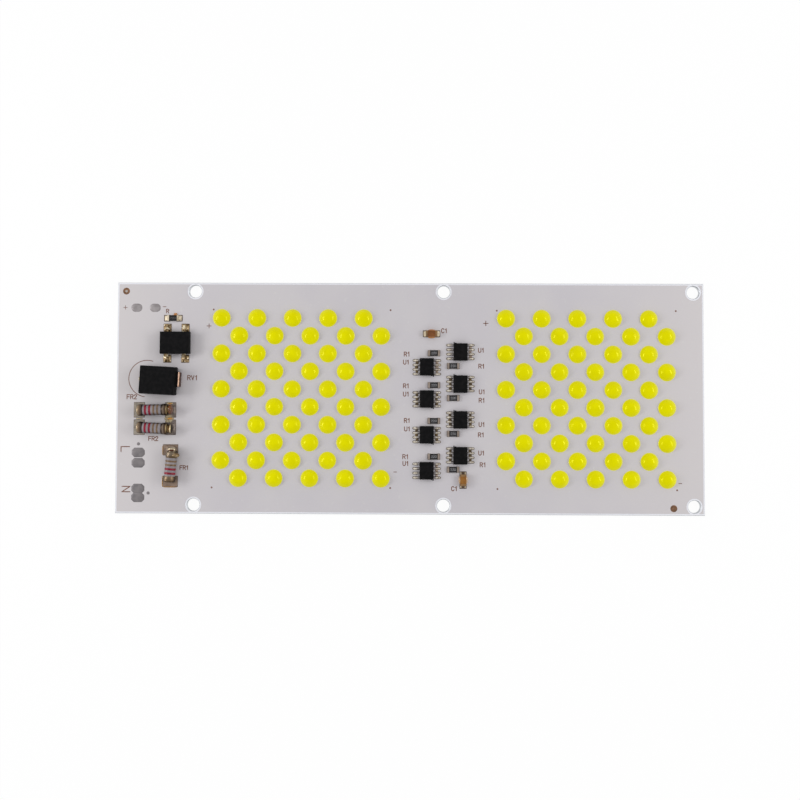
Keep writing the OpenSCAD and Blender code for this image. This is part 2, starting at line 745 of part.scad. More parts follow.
// Half-section of a moulded body: widest at its parting line, bevelled along the top
module body_section(w, h, split) {
    low = drafted(w / 2, 0, split);
    shoulder = drafted(w / 2, h - body_bevel, split);
    top = shoulder - body_bevel;
    polygon([[-low, 0], [low, 0], [w / 2, split], [shoulder, h - body_bevel], [top, h], [-top, h],
        [-shoulder, h - body_bevel], [-w / 2, split]]);
}

module moulded_body(l, w, h, split) intersection() {
    rotate([90, 0, 0]) linear_extrude(w + 1, center = true) body_section(l, h, split);
    rotate([90, 0, 90]) linear_extrude(l + 1, center = true) body_section(w, h, split);
}

// A quarter of a bent strip, centred on its bend, from angle start to start + 90
module bend(r, t, start) {
    rotate(start) intersection() {
        difference() {
            circle(r + t / 2);
            circle(r - t / 2);
        }
        square(r + t);
    }
}

// Side view of a gull-wing lead that leaves the body at u = 0 and rises to height rise
module gull_section(reach, rise, foot, t) {
    r = t;
    knee = reach - foot - 2 * r;
    translate([-lead_root, rise - t / 2]) square([lead_root + knee, t]);
    translate([knee, rise - r]) bend(r, t, 0);
    translate([knee + r - t / 2, r + t / 2]) square([t, rise - 2 * r - t / 2]);
    translate([knee + 2 * r, r + t / 2]) bend(r, t, 180);
    translate([knee + 2 * r, 0]) square([foot, t]);
}

// Side view of a strap that leaves the body at u = 0 and folds back under it
module strap_section(reach, rise, foot, t) {
    r = t;
    knee = reach - r - t / 2;
    translate([-lead_root, rise - t / 2]) square([lead_root + knee, t]);
    translate([knee, rise - r]) bend(r, t, 0);
    translate([knee + r - t / 2, r + t / 2]) square([t, rise - 2 * r - t / 2]);
    translate([knee, r + t / 2]) bend(r, t, 270);
    translate([-foot, 0]) square([foot + knee, t]);
}

// A formed strip w wide, with its section in the plane of X and Z
module formed(w) rotate([90, 0, 0]) linear_extrude(w, center = true) children();

chip_split = chip_standoff + chip_h / 2;

module chip_lead_rows() {
    for (n = [0:chip_leads - 1]) both_ways()
        translate([chip_w / 2, (n - (chip_leads - 1) / 2) * chip_lead_pitch, seat_z])
            formed(chip_lead_w) gull_section((chip_span - chip_w) / 2, chip_split, chip_foot, chip_lead_t);
}

module driver_chip_leads(i) color(tin) at_chip(i) chip_lead_rows();

module driver_chip(i) color(epoxy) at_chip(i) difference() {
    translate([0, 0, seat_z + chip_standoff]) {
        moulded_body(chip_w, chip_l, chip_h, chip_h / 2);
        translate([gate_w - chip_w / 2, 0, chip_h / 2 - gate_w / 4])
            cube([gate_w, chip_l / 2 + gate_reach, gate_w / 2]);
    }
    chip_lead_rows();
}

bridge_split = bridge_standoff + bridge_h / 2;

module bridge_lead_rows() {
    for (n = [-1, 1]) both_ways()
        translate([n * bridge_lead_pitch / 2, bridge_w / 2, seat_z]) rotate(90)
            formed(bridge_lead_w)
                gull_section((bridge_span - bridge_w) / 2, bridge_split, bridge_foot, bridge_lead_t);
}

module bridge_leads() color(tin) at_bridge() bridge_lead_rows();

module bridge_rectifier() color(epoxy) at_bridge() difference() {
    translate([0, 0, seat_z + bridge_standoff]) moulded_body(bridge_l, bridge_w, bridge_h, bridge_h / 2);
    bridge_lead_rows();
}

strap_rise = strap_t + varistor_h / 2;

module at_straps() translate(strap_shift) both_ways() translate([varistor_l / 2, 0, seat_z]) children();

module strap_pair() at_straps() formed(strap_w) strap_section(strap_reach, strap_rise, strap_foot, strap_t);

module varistor_straps() color([0.72, 0.56, 0.46]) at_varistor() strap_pair();

// The block of the body around the root of a strap
module strap_boss() {
    reach = strap_reach - strap_t - boss_gap;
    translate([-lead_root, -strap_w / 2 - boss_wall, strap_rise - boss_h / 2])
        cube([lead_root + reach, strap_w + 2 * boss_wall, boss_h]);
}

module varistor() color(epoxy) at_varistor() difference() {
    union() {
        translate([0, 0, seat_z + strap_t]) moulded_body(varistor_l, varistor_w, varistor_h, varistor_h / 2);
        at_straps() strap_boss();
    }
    translate([0, 0, seat_z + strap_t + varistor_h - ejector_depth]) cylinder(d = ejector_d, h = 1);
    strap_pair();
}

// Parts with metal ends

// The block of width w that the metal ends wrap
module ceramic_block(l, w, h) {
    m = end_metal_t;
    translate([0, 0, seat_z + h / 2]) cube([l - 2 * m, w, h - 2 * m], center = true);
}

// A resistor's block, with the glazed coat that fills the gap between its ends on top
module resistor_block() {
    m = end_metal_t;
    ceramic_block(resistor_l, resistor_w, resistor_h);
    translate([0, 0, seat_z + resistor_h - m])
        cube([resistor_l - 2 * resistor_end, resistor_w, 2 * m], center = true);
}

// Metal wrapped over both ends of a block, on all sides or on its top, end and bottom only
module wrapped_ends(l, w, h, end, block_w) {
    for (s = [-1, 1]) difference() {
        translate([s * (l - end) / 2, 0, seat_z + h / 2]) cube([end, w, h], center = true);
        ceramic_block(l, block_w, h);
    }
}

module resistor_ends() wrapped_ends(resistor_l, resistor_w, resistor_h, resistor_end, resistor_w + 1);

module sense_resistor(i) color(alumina) at_sense(i) resistor_block();

module sense_ends(side) color(tin)
    for (i = chip_numbers) if (chip_side(i) == side) at_sense(i) resistor_ends();

module bleed_resistor() color(alumina) at_bleed() resistor_block();

module bleed_ends() color(tin) at_bleed() resistor_ends();

cap_block_w = cap_w - 2 * end_metal_t;

module capacitor(i) color([0.52, 0.33, 0.18]) at_cap(i) ceramic_block(cap_l, cap_block_w, cap_h);

module capacitor_ends() color(tin) for (i = [0:len(caps) - 1])
    at_cap(i) wrapped_ends(cap_l, cap_w, cap_h, cap_end, cap_block_w);

// Rods with pressed caps

module fusible_resistor(i) color([0.65, 0.65, 0.70]) at_rod(i)
    cylinder(d = rod_d, h = rod_l - 2 * end_cap_wall, center = true);

// Half-section of a disc of radius r from height 0 to l, with its upper rim rounded
module round_rimmed(r, l) {
    square([r, l - end_cap_round]);
    square([r - end_cap_round, l]);
    translate([r - end_cap_round, l - end_cap_round]) circle(end_cap_round);
}

// A cap pressed over the end of the rod
module end_cap_section() difference() {
    round_rimmed(rod_d / 2 + end_cap_wall, end_cap_l);
    square([rod_d / 2, end_cap_l - end_cap_wall]);
}

// The neck and the knob beyond the tail cap, with the neck let into the cap's closed end
module tail_section() {
    translate([0, -end_cap_wall / 2]) square([tail_neck_d / 2, end_cap_wall / 2 + tail_neck_l + tail_l / 2]);
    translate([0, tail_neck_l]) intersection() {
        round_rimmed(tail_d / 2, tail_l);
        translate([0, tail_l]) mirror([0, 1]) round_rimmed(tail_d / 2, tail_l);
    }
}

module fusible_resistor_caps(i) color([0.58, 0.52, 0.44]) at_rod(i) {
    for (turn = [0, 180]) rotate([turn, 0, 0])
        translate([0, 0, rod_l / 2 - end_cap_l]) rotate_extrude() end_cap_section();
    translate([0, 0, rod_l / 2]) rotate_extrude() tail_section();
}

aluminium_core();
dielectric_layer();
copper_circuit();
white_solder_mask();
tinned_lands();
for (side = [0, 1]) for (k = [0:strings - 1])
    dome_string(side, k);
led_dies(0);  // left_led_dies
led_dies(1);  // right_led_dies
for (i = chip_numbers) driver_chip(i);
for (i = chip_numbers) driver_chip_leads(i);
for (i = chip_numbers) sense_resistor(i);
sense_ends(0);  // left_sense_ends
sense_ends(1);  // right_sense_ends
bridge_rectifier();
bridge_leads();
varistor();
varistor_straps();
for (i = [0:len(rods) - 1]) fusible_resistor(i);
for (i = [0:len(rods) - 1]) fusible_resistor_caps(i);
bleed_resistor();
bleed_ends();
for (i = [0:len(caps) - 1]) capacitor(i);
capacitor_ends();
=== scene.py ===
# %% [markdown]
# # An LED board, dressed on its frame
# The frame brings in the solids of a floodlight board at their true size: the metal core, the copper,
# the white mask, the chips and the domes. What it can't bring is the work of the bench: solder drawn
# up over leads, flux that ran out and set, ink on the mask, and the surface of every material. This
# lesson adds those. Blender counts in metres and a board is drawn in millimetres, so the sizes below
# are in millimetres, and MM turns them into metres where a mesh is made.

# %% Load the frame
import json

import bmesh
import bpy
import numpy as np
from mathutils import Matrix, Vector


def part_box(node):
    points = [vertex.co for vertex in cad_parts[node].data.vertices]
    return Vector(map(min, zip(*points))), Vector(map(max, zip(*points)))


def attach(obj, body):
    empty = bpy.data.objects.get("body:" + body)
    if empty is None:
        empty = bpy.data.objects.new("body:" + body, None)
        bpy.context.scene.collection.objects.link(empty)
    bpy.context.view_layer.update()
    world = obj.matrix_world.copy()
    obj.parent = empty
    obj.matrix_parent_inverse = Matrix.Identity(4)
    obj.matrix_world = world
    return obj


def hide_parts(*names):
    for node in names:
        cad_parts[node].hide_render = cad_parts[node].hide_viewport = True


MM = 0.001
X, Y, Z = 0, 1, 2
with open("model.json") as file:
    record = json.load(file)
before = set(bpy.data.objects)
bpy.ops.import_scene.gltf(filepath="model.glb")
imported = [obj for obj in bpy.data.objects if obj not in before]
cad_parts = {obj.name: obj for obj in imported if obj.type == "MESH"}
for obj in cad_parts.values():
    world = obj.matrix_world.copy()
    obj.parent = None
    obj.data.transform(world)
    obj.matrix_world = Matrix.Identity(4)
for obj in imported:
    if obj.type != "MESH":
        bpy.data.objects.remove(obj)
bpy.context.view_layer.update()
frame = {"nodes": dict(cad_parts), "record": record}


def box_mm(node):
    """Lowest and highest corner of a node, as arrays in millimetres."""
    low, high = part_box(node)
    return np.array(low) / MM, np.array(high) / MM


def middle(node):
    """The middle of a node's box, in millimetres."""
    return sum(box_mm(node)) / 2


def top(node):
    """The height of a node's highest point, in millimetres."""
    return box_mm(node)[1][Z]


mask_top = top("white_solder_mask")
land_top = top("tinned_lands")
copper_top = top("copper_circuit")
print(len(frame["nodes"]), "solids; mask at", round(mask_top, 3), "mm, lands at", round(land_top, 3), "mm")

# %% [markdown]
# ## Shader maths as plain sums
# A finish is a graph of nodes, and a graph is hard to read as a list of links. So one small class
# wraps an output socket: sums on it add Math nodes, and its one method, node, adds any other kind.
# Colours go through Mix nodes, because a Math node would turn them grey. A colour is written as a screen
# shows it, in three numbers from 0 to 255.

# %% The Value class
class Value:
    """An output socket that takes part in sums; each operator adds one Math node."""

    def __init__(self, socket):
        self.socket = socket

    def node(self, kind, settings, sockets, out=0):
        """Adds a node: its settings first, then its sockets' values or links. Gives one output."""
        made = self.socket.id_data.nodes.new("ShaderNode" + kind)
        for name, setting in settings.items():
            setattr(made, name, setting)
        for name, value in sockets.items():
            plug(made.inputs[name], value)
        return Value(made.outputs[out])

    def math(self, operation, first, second):
        return self.node("Math", {"operation": operation}, {0: first, 1: second})

    def __add__(self, other):
        return self.math("ADD", self, other)

    def __radd__(self, other):
        return self.math("ADD", other, self)

    def __sub__(self, other):
        return self.math("SUBTRACT", self, other)

    def __rsub__(self, other):
        return self.math("SUBTRACT", other, self)

    def __mul__(self, other):
        return self.math("MULTIPLY", self, other)

    def __rmul__(self, other):
        return self.math("MULTIPLY", other, self)

    def between(self, low, high):
        """A smooth step: 0 at low, 1 at high."""
        settings = {"interpolation_type": "SMOOTHSTEP"}
        return self.node("MapRange", settings, {"Value": self, "From Min": low, "From Max": high})

    def mix(self, first, second):
        """The first colour where this value is 0, the second where it is 1: screen colours or Values."""
        first, second = (tint(*c) if isinstance(c, tuple) else c for c in (first, second))
        return self.node("Mix", {"data_type": "RGBA"}, {0: self, 6: first, 7: second}, out=2)

    def tone(self, dark, light, span=(0.3, 0.7)):
        """From a dark colour to a light one over a span, which by default is the one that noise fills."""
        return self.between(*span).mix(dark, light)


def plug(socket, value):
    """Links a Value to a socket, or sets the socket's own number, vector or colour."""
    if isinstance(value, Value):
        socket.id_data.links.new(value.socket, socket)
    elif socket.type == "RGBA":
        socket.default_value = (*value, 1.0)
    else:
        socket.default_value = value


def tint(red, green, blue):
    """A screen colour from 0 to 255 as the linear light that a shader works in."""
    part = np.array([red, green, blue]) / 255
    return tuple(np.where(part <= 0.04045, part / 12.92, ((part + 0.055) / 1.055) ** 2.4).tolist())


def finish(name, constants, paint):
    """A material with one Principled shader. Constants go straight on its sockets, and paint, which is
    handed the Object coordinates, returns the sockets that vary over the surface."""
    material = bpy.data.materials.new(name)
    material.use_nodes = True
    tree = material.node_tree
    shader = tree.nodes["Principled BSDF"]
    place = Value(tree.nodes.new("ShaderNodeTexCoord").outputs["Object"])
    for socket, value in {**constants, **paint(place)}.items():
        plug(shader.inputs[socket], value)
    return material


def finish_set(*rows):
    """Materials by name, from rows of a name, constants and a paint."""
    return {row[0]: finish(*row) for row in rows}


def coat(colour, roughness, normal=None):
    """What most paints return: colour, roughness and, where the surface has relief, a normal."""
    sockets = {"Base Color": colour, "Roughness": roughness}
    return sockets if normal is None else {**sockets, "Normal": normal}


def noise(at, size_mm, detail, stretch=(1, 1, 1)):
    """Smooth noise about 0.5, with spots of about that size, drawn out along an axis by stretch."""
    scale = tuple(1 / (size_mm * MM * part) for part in stretch)
    scaled = at.node("VectorMath", {"operation": "MULTIPLY"}, {0: at, 1: scale})
    return at.node("TexNoise", {}, {"Vector": scaled, "Scale": 1.0, "Detail": detail})


def bump(height, depth_mm):
    """A normal that tilts as if the surface rose by depth where height goes from 0 to 1."""
    return height.node("Bump", {}, {"Strength": 1.0, "Distance": depth_mm * MM, "Height": height})


def component(vector, axis):
    """One component of a vector."""
    return vector.node("SeparateXYZ", {}, {0: vector}, out=axis)


def along(at, axis):
    """One coordinate, in millimetres."""
    return component(at, axis) * (1 / MM)


def facing(at, axis):
    """How far a face looks along an axis: 1 for straight along it, 0 for across it."""
    return component(at.node("NewGeometry", {}, {}, out="Normal"), axis)


print("shader helpers ready")

# %% [markdown]
# ## Camera
# The board was photographed from a quarter of a metre, almost straight above. The place, the aim and
# the small roll below put the frame's corners and screw holes on those of the picture. The matrix has
# the camera's right, up and backward directions as its columns.

# %% Camera
camera_place = np.array([-0.66, -8.736, 249.858])
camera_aim = np.array([-2.71, -0.432, 0.0])
camera_roll = np.radians(-0.217)
camera_lens = 39.905
nearest_seen = 10.0


def unit(vector):
    """The same direction with a length of 1."""
    return vector / np.linalg.norm(vector)


def linked(name, data):
    """A new object for some data, in the scene."""
    made = bpy.data.objects.new(name, data)
    bpy.context.scene.collection.objects.link(made)
    return made


def stood(name, data, right, up, back, place):
    """A new object at a place in millimetres, with its own X, Y and Z along three directions."""
    pose = np.eye(4)
    pose[:3] = np.column_stack([right, up, back, place * MM])
    made = linked(name, data)
    made.matrix_world = Matrix(pose.tolist())
    return made


forward = unit(camera_aim - camera_place)
unrolled = unit(np.cross(forward, [0, 1, 0]))
right = unrolled * np.cos(camera_roll) - np.cross(unrolled, forward) * np.sin(camera_roll)
camera_data = bpy.data.cameras.new("camera")
camera_data.lens = camera_lens
camera_data.clip_start = nearest_seen * MM
camera = stood("camera", camera_data, right, np.cross(right, forward), -forward, camera_place)
bpy.context.scene.camera = camera
print("camera", round(float(np.linalg.norm(camera_place - camera_aim)), 1), "mm from the board")

# %% [markdown]
# ## Meshes from grids
# Every new piece is a surface on a grid: a function of two parameters worked out for all points at
# once. Two shapes do nearly all the work here. A pillow is a patch of something wet that lies on the
# board and thins out to nothing at its rim, which is what solder, flux, glue and ink do. A turned shape
# is a profile spun about an axis, as the domes and rods are.

# %% Grids to meshes
merge_gap = 0.0005
crisp_angle = np.radians(40)


def grid_faces(sheets, rows, cols, wrap_rows, wrap_cols):
    """Corners of the quads of several grids: point (s, r, c) is number (s * rows + r) * cols + c."""
    r = np.arange(rows if wrap_rows else rows - 1)
    c = np.arange(cols if wrap_cols else cols - 1)
    s, r, c = np.meshgrid(np.arange(sheets), r, c, indexing="ij")
    corners = [(r, c), (r, c + 1), (r + 1, c + 1), (r + 1, c)]
    numbers = [(s * rows + a % rows) * cols + b % cols for a, b in corners]
    return np.stack(numbers, axis=-1).reshape(-1, 4)


def put_piece(name, points, material, wrap_rows=False, wrap_cols=False):
    """A piece from points of shape (sheets, rows, cols, 3) in millimetres. Doubles are merged, faces
    turned outwards, edges sharper than an angle kept crisp, and the piece rides on the board."""
    sheets, rows, cols, _ = points.shape
    faces = grid_faces(sheets, rows, cols, wrap_rows, wrap_cols)
    mesh = bpy.data.meshes.new(name)
    mesh.from_pydata((points.reshape(-1, 3) * MM).tolist(), [], faces.tolist())
    shell = bmesh.new()
    shell.from_mesh(mesh)
    bmesh.ops.remove_doubles(shell, verts=shell.verts, dist=merge_gap * MM)
    bmesh.ops.recalc_face_normals(shell, faces=shell.faces)
    shell.to_mesh(mesh)
    shell.free()
    mesh.shade_smooth()
    mesh.set_sharp_from_angle(angle=crisp_angle)
    mesh.materials.append(material)
    piece = linked(name, mesh)
    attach(piece, "root")
    print(name, len(mesh.polygons), "faces")
    return piece


# %% Pillows, rims and turned shapes
def ease(x):
    """A smooth step from 0 at x = 0 to 1 at x = 1."""
    x = np.clip(x, 0, 1)
    return x * x * (3 - 2 * x)


def rounded(u, v, a, b, squareness):
    """A square of u and v from -1 to 1, with half sizes a and b, that turns into an ellipse as squareness
    goes from 1 to 0: with k = 1 - squareness, x = a u sqrt(1 - k v^2 / 2), y = b v sqrt(1 - k u^2 / 2)."""
    k = 1 - squareness
    return a * u * np.sqrt(1 - k * v * v / 2), b * v * np.sqrt(1 - k * u * u / 2)


def laid(places, turns, x, y, z):
    """Shapes laid at their places: (x, y) turned by an angle in degrees, and z above the place."""
    px, py, pz = np.asarray(places, float).T[:, :, None, None]
    t = np.radians(np.broadcast_to(turns, len(places)))[:, None, None]
    return np.stack([px + x * np.cos(t) - y * np.sin(t), py + x * np.sin(t) + y * np.cos(t), pz + z + 0 * x],
                    axis=-1)


def pillows(places, turns, halves, height, squareness=0.35, edge=0.5, steps=(13, 9)):
    """Closed pillows on rounded squares, one per place (x, y, z), with half sizes (a, b) or one for both.
    The upper skin stands height(x, y) times ((1 - u^2)(1 - v^2))^edge above the lower one, which is flat,
    so the two meet at the rim."""
    a, b = np.broadcast_to(halves, (len(places), 2)).T[:, :, None, None]
    u, v = np.meshgrid(*[np.sin(np.linspace(-np.pi / 2, np.pi / 2, count)) for count in steps], indexing="ij")
    x, y = rounded(u, v, a, b, squareness)
    rise = height(x, y) * (np.clip(1 - u * u, 0, 1) * np.clip(1 - v * v, 0, 1)) ** edge
    return np.concatenate([laid(places, turns, x, y, rise), laid(places, turns, x, y, 0)])


def cushion(thickness):
    """A height function that is the same everywhere."""
    return lambda x, y: thickness + 0 * x


def rims(places, turns, halves, squareness, width, height, sides=24):
    """Low closed rings along the rims of pillows. The rim is the edge of the square u, v, found at an angle
    t by dividing (cos t, sin t) by the larger of the two, and rounded as a pillow is. A three-cornered
    section of that width and height is carried round it."""
    a, b = np.broadcast_to(halves, (len(places), 2)).T[:, :, None, None]
    t = np.linspace(0, 2 * np.pi, sides, endpoint=False)
    u, v = np.stack([np.cos(t), np.sin(t)]) / np.maximum(np.abs(np.cos(t)), np.abs(np.sin(t)))
    out = np.array([-width / 2, 0.0, width / 2])[:, None]
    x, y = rounded(u, v, a + out, b + out, squareness)
    return laid(places, turns, x, y, np.array([0.0, height, 0.0])[:, None])


def turned(profile, sides):
    """A profile of (radius, height) points spun about Z: x = r cos t, y = r sin t, z = h."""
    radius, height = np.asarray(profile, float).T[:, :, None]
    t = np.linspace(0, 2 * np.pi, sides, endpoint=False)
    return np.stack([radius * np.cos(t), radius * np.sin(t), height + 0 * t], axis=-1)


def at_height(spots, height):
    """Rows that begin with x and y, as places (x, y, height)."""
    return np.column_stack([np.asarray(spots, float)[:, :2], np.full(len(spots), height)])


print("surface helpers ready")

# %% [markdown]
# ## Floor and light
# The photograph stands on pure white in the even light of a tent, so its shadows are faint. The tent is a
# little brighter at the board's ends than overhead, and on the far side than on the near one. A long, narrow
# window stands aslant in it at each end, and every dome shows both as small arcs on its flanks. The floor is
# white paper that the camera, and any shiny metal, sees as white, while it still takes a soft shadow. Beyond
# the paper, the camera sees the tent as white too.

# %% Floor
floor_half = 3000.0
floor_gap = 0.02
paper_white = 0.9
paper_glow = 0.95


def floor_sheet():
    """A flat grid x = h u, y = h v just below the board's back."""
    ticks = np.linspace(-1, 1, 3) * floor_half
    x, y = np.meshgrid(ticks, ticks, indexing="ij")
    points = np.stack([x, y, 0 * x - floor_gap], axis=-1).reshape(-1, 3) * MM
    mesh = bpy.data.meshes.new("floor")
    mesh.from_pydata(points.tolist(), [], grid_faces(1, 3, 3, False, False)[:, ::-1].tolist())
    return mesh


def white_paper():
    """Paper that mixes its own white with a glow which only seeing and mirroring rays meet."""
    material = bpy.data.materials.new("white_paper")
    material.use_nodes = True
    tree = material.node_tree
    tree.nodes.remove(tree.nodes["Principled BSDF"])
    seen = Value(tree.nodes.new("ShaderNodeLightPath").outputs["Is Camera Ray"])
    any_ray = seen
    for kind in ("Is Glossy Ray", "Is Transmission Ray"):
        any_ray = seen.math("MAXIMUM", any_ray, seen.node("LightPath", {}, {}, out=kind))
    matt = seen.node("BsdfDiffuse", {}, {"Color": (paper_white,) * 3})
    glow = seen.node("Emission", {}, {"Color": (1, 1, 1), "Strength": 1.0})
    paper = seen.node("MixShader", {}, {0: any_ray * paper_glow, 1: matt, 2: glow})
    plug(tree.nodes["Material Output"].inputs["Surface"], paper)
    return material


floor = linked("floor", floor_sheet())
floor.data.materials.append(white_paper())
print("floor", 2 * floor_half, "mm square")

# %% Windows of light
def light_window(name, azimuth, elevation, slant, distance, size, watts):
    """A rectangular lamp at an azimuth, an elevation and a distance, aimed at the board's middle. Slant
    raises its left end, as seen from the board, by an angle."""
    azimuth, elevation, slant = np.radians([azimuth, elevation, slant])
    flat = np.cos(elevation)
    away = np.array([np.cos(azimuth) * flat, np.sin(azimuth) * flat, np.sin(elevation)])
    lamp = bpy.data.lights.new(name, "AREA")
    lamp.shape = "RECTANGLE"
    lamp.size, lamp.size_y = size[0] * MM, size[1] * MM
    lamp.energy = watts
    level_side = unit(np.cross([0, 0, 1], away))
    side = level_side * np.cos(slant) + np.cross(away, level_side) * np.sin(slant)
    stood(name, lamp, side, np.cross(away, side), away, away * distance)
    print(name, watts, "W")


light_window("left_window", 177, 27, -27, 380, (240, 60), 0.48)
light_window("right_window", 6, 34, 17, 380, (260, 66), 0.4)

# %% Tent
end_glow, end_full = 0.9, 0.6
side_glow = 0.7
far_lean = 0.05
ceiling_glow = 0.63
ceiling_span = (0.35, 0.85)
room = bpy.context.scene.world or bpy.data.worlds.new("room")
bpy.context.scene.world = room
room.use_nodes = True
backdrop = room.node_tree.nodes["Background"]
sky = Value(room.node_tree.nodes.new("ShaderNodeTexCoord").outputs["Object"])
ends = (component(sky, X) * component(sky, X)).between(0.0, end_full)
ring = side_glow + (end_glow - side_glow) * ends + far_lean * component(sky, Y)
tent = ring + (ceiling_glow - ring) * component(sky, Z).between(*ceiling_span)
straight = sky.node("LightPath", {}, {}, out="Is Camera Ray")
plug(backdrop.inputs["Color"], (1.0, 1.0, 1.0))
plug(backdrop.inputs["Strength"], tent + (1.0 - tent) * straight)
bpy.context.scene.view_settings.view_transform = "Standard"
print("tent from", side_glow, "to", end_glow, "under a ceiling at", ceiling_glow)

# %% [markdown]
# ## Board finishes
# The mask is a white ink that was screened on and baked: matt, faintly mottled, with the grain of the
# screen, and with painted light that makes it a little paler at the board's ends. Under it lie a pale
# ceramic-filled layer, foil and a rolled sheet of aluminium, which show at the edges, in the holes and on the
# back. A plain finish needs only one size of clouds, so one function makes all of that kind.

# %% Mask, insulation, core and copper
painted_light_start, painted_light_full = 40.0, 88.0


def mottled(size, detail, dark, light, rough, spread, depth=0.0, span=(0.3, 0.7), over=()):
    """Paint with one size of clouds: they carry the colour from dark to light, add up to spread to the
    roughness and, where a depth is given, lift the surface. Over it go colours with masks of their own."""
    def paint(at):
        clouds = noise(at, size, detail)
        colour = clouds.tone(dark, light, span)
        for mask, other in over:
            colour = mask(at).mix(colour, other)
        return coat(colour, rough + spread * clouds, bump(clouds, depth) if depth else None)
    return paint


def white_ink(at):
    clouds = noise(at, 16.0, 3.0)
    specks = noise(at, 1.1, 2.0)
    grain = noise(at, 0.16, 1.0)
    from_middle = along(at, X) * along(at, X)
    white = clouds.tone((195, 191, 196), (199, 195, 198))
    # Painted light: the mask is made paler towards the board's ends, as if they were lit more.
    white = from_middle.between(painted_light_start ** 2, painted_light_full ** 2).mix(white, (202, 197, 198))
    white = (specks.between(0.62, 0.78) * 0.5).mix(white, (205, 202, 203))
    return coat(white, 0.4 + 0.14 * clouds, bump(grain + 0.6 * specks, 0.012))


def rolled_sheet(at):
    streaks = noise(at, 0.35, 3.0, stretch=(60, 1, 1))
    stains = noise(at, 22.0, 3.0)
    grey = streaks.tone((186, 189, 193), (208, 210, 213))
    grey = (stains.between(0.55, 0.75) * 0.35).mix(grey, (176, 174, 172))
    return coat(grey, 0.42 + 0.2 * streaks, bump(streaks, 0.004))


board_finishes = finish_set(
    ("white_mask", {"IOR": 1.4}, white_ink),
    ("dielectric", {}, mottled(0.12, 2.0, (220, 220, 226), (235, 236, 242), 0.45, 0.2, 0.01)),
    ("aluminium", {"Metallic": 1.0}, rolled_sheet),
    ("copper", {"Metallic": 0.7}, mottled(0.7, 3.0, (103, 76, 57), (139, 104, 79), 0.42, 0.2, 0.008)),
)
print(sorted(board_finishes))

# %% [markdown]
# ## Part finishes
# Tin on a bare land is grey and cloudy, and solder goes from bright at the chips to brown under baked flux
# where it was put on by hand, and darker still as painted shadow beside the level rods. Moulded bodies are
# black with a fine spark-eroded skin, and the chip resistors are white alumina under a black glaze, which is
# told from the sides by its height. The phosphor in the domes is set in silicone: strong yellow, with a
# paler,
# thinner foot. It has a painted glow: a constant emission that stands in for the yellow it gives back from
# blue light, and that makes its shading flat.

# %% Metals
def cloudy_tin(dark, light):
    def paint(at):
        clouds = noise(at, 1.6, 3.0)
        grain = noise(at, 0.2, 2.0)
        return coat(clouds.tone(dark, light), 0.4 + 0.2 * clouds, bump(grain + clouds, 0.012))
    return paint


def bright_solder(at):
    """Bright on top, with painted shade where a slope is steep or looks right: dark brown and dull there."""
    clouds = noise(at, 0.5, 3.0)
    # Painted shade: steep and right-facing slopes of the solder are darkened.
    lit_top = (facing(at, Z) - 0.35 * facing(at, X).between(0.0, 0.5) + 0.25 * clouds).between(0.6, 1.0)
    metal = clouds.tone((178, 166, 150), (232, 224, 210))
    return coat(lit_top.mix((72, 56, 42), metal), 0.4 - 0.14 * lit_top, bump(clouds, 0.02))


def patches(size, low, high, share=1.0):
    """A mask of scattered patches, where noise of that size is high."""
    return lambda at: share * noise(at, size, 2.0).between(low, high)


def capacitor_line(at):
    """1 along the upright capacitor's middle line, and 0 at its corners."""
    across = along(at, X) - middle("lower_capacitor")[X]
    return 1.0 - (across * across).between(0.06, 0.36)


def shaded_upright_faces(at):
    """1 on upright faces, where painted shade goes, and 0 on level ones."""
    return 1.0 - facing(at, Z).between(0.15, 0.8)


hand_solder = mottled(0.9, 3.0, (134, 125, 114), (164, 154, 140), 0.36, 0.16, 0.02,
                      over=[(patches(1.7, 0.52, 0.72, 0.6), (104, 90, 74))])
fluxed_solder = mottled(0.7, 2.0, (86, 66, 38), (164, 138, 98), 0.26, 0.14, 0.04, (0.38, 0.62),
                        over=[(patches(0.95, 0.52, 0.64), (232, 220, 192))])
peaked_solder = mottled(0.6, 2.0, (172, 158, 134), (226, 210, 184), 0.3, 0.14, 0.02,
                        over=[(capacitor_line, (88, 68, 50))])
# The copper strap gets painted shade on its upright faces.
copper_band = mottled(0.6, 3.0, (168, 130, 108), (222, 186, 164), 0.3, 0.2, 0.01,
                      over=[(shaded_upright_faces, (96, 58, 36))])
metal_rows = [
    ("tin", 0.75, cloudy_tin((120, 116, 118), (137, 132, 133))),
    ("pale_tin", 0.75, cloudy_tin((143, 137, 138), (167, 161, 162))),
    ("solder", 0.5, bright_solder),
    ("tin_cap", 0.9, cloudy_tin((92, 76, 60), (134, 114, 90))),
    ("hand_solder", 0.35, hand_solder),
    # Painted shadow: a darker tin for the level rods' tail lands, which lie in the rods' shadow.
    ("dark_solder", 0.35, cloudy_tin((98, 88, 86), (132, 119, 110))),
    ("tan_solder", 0.35, cloudy_tin((120, 101, 86), (146, 125, 110))),
    ("gold_solder", 0.6, mottled(1.1, 2.0, (112, 88, 58), (160, 138, 106), 0.3, 0.14, 0.03)),
    ("fluxed_solder", 0.5, fluxed_solder),
    ("warm_tin", 0.5, cloudy_tin((138, 124, 114), (162, 148, 138))),
    ("cream_tin", 0.5, cloudy_tin((172, 158, 134), (224, 210, 186))),
    ("tan_tin", 0.3, cloudy_tin((106, 78, 46), (146, 112, 72))),
    ("peaked_solder", 0.4, peaked_solder),
    ("copper_strap", 0.9, copper_band),
]
metals = {name: finish(name, {"Metallic": share}, paint) for name, share, paint in metal_rows}
print(sorted(metals))

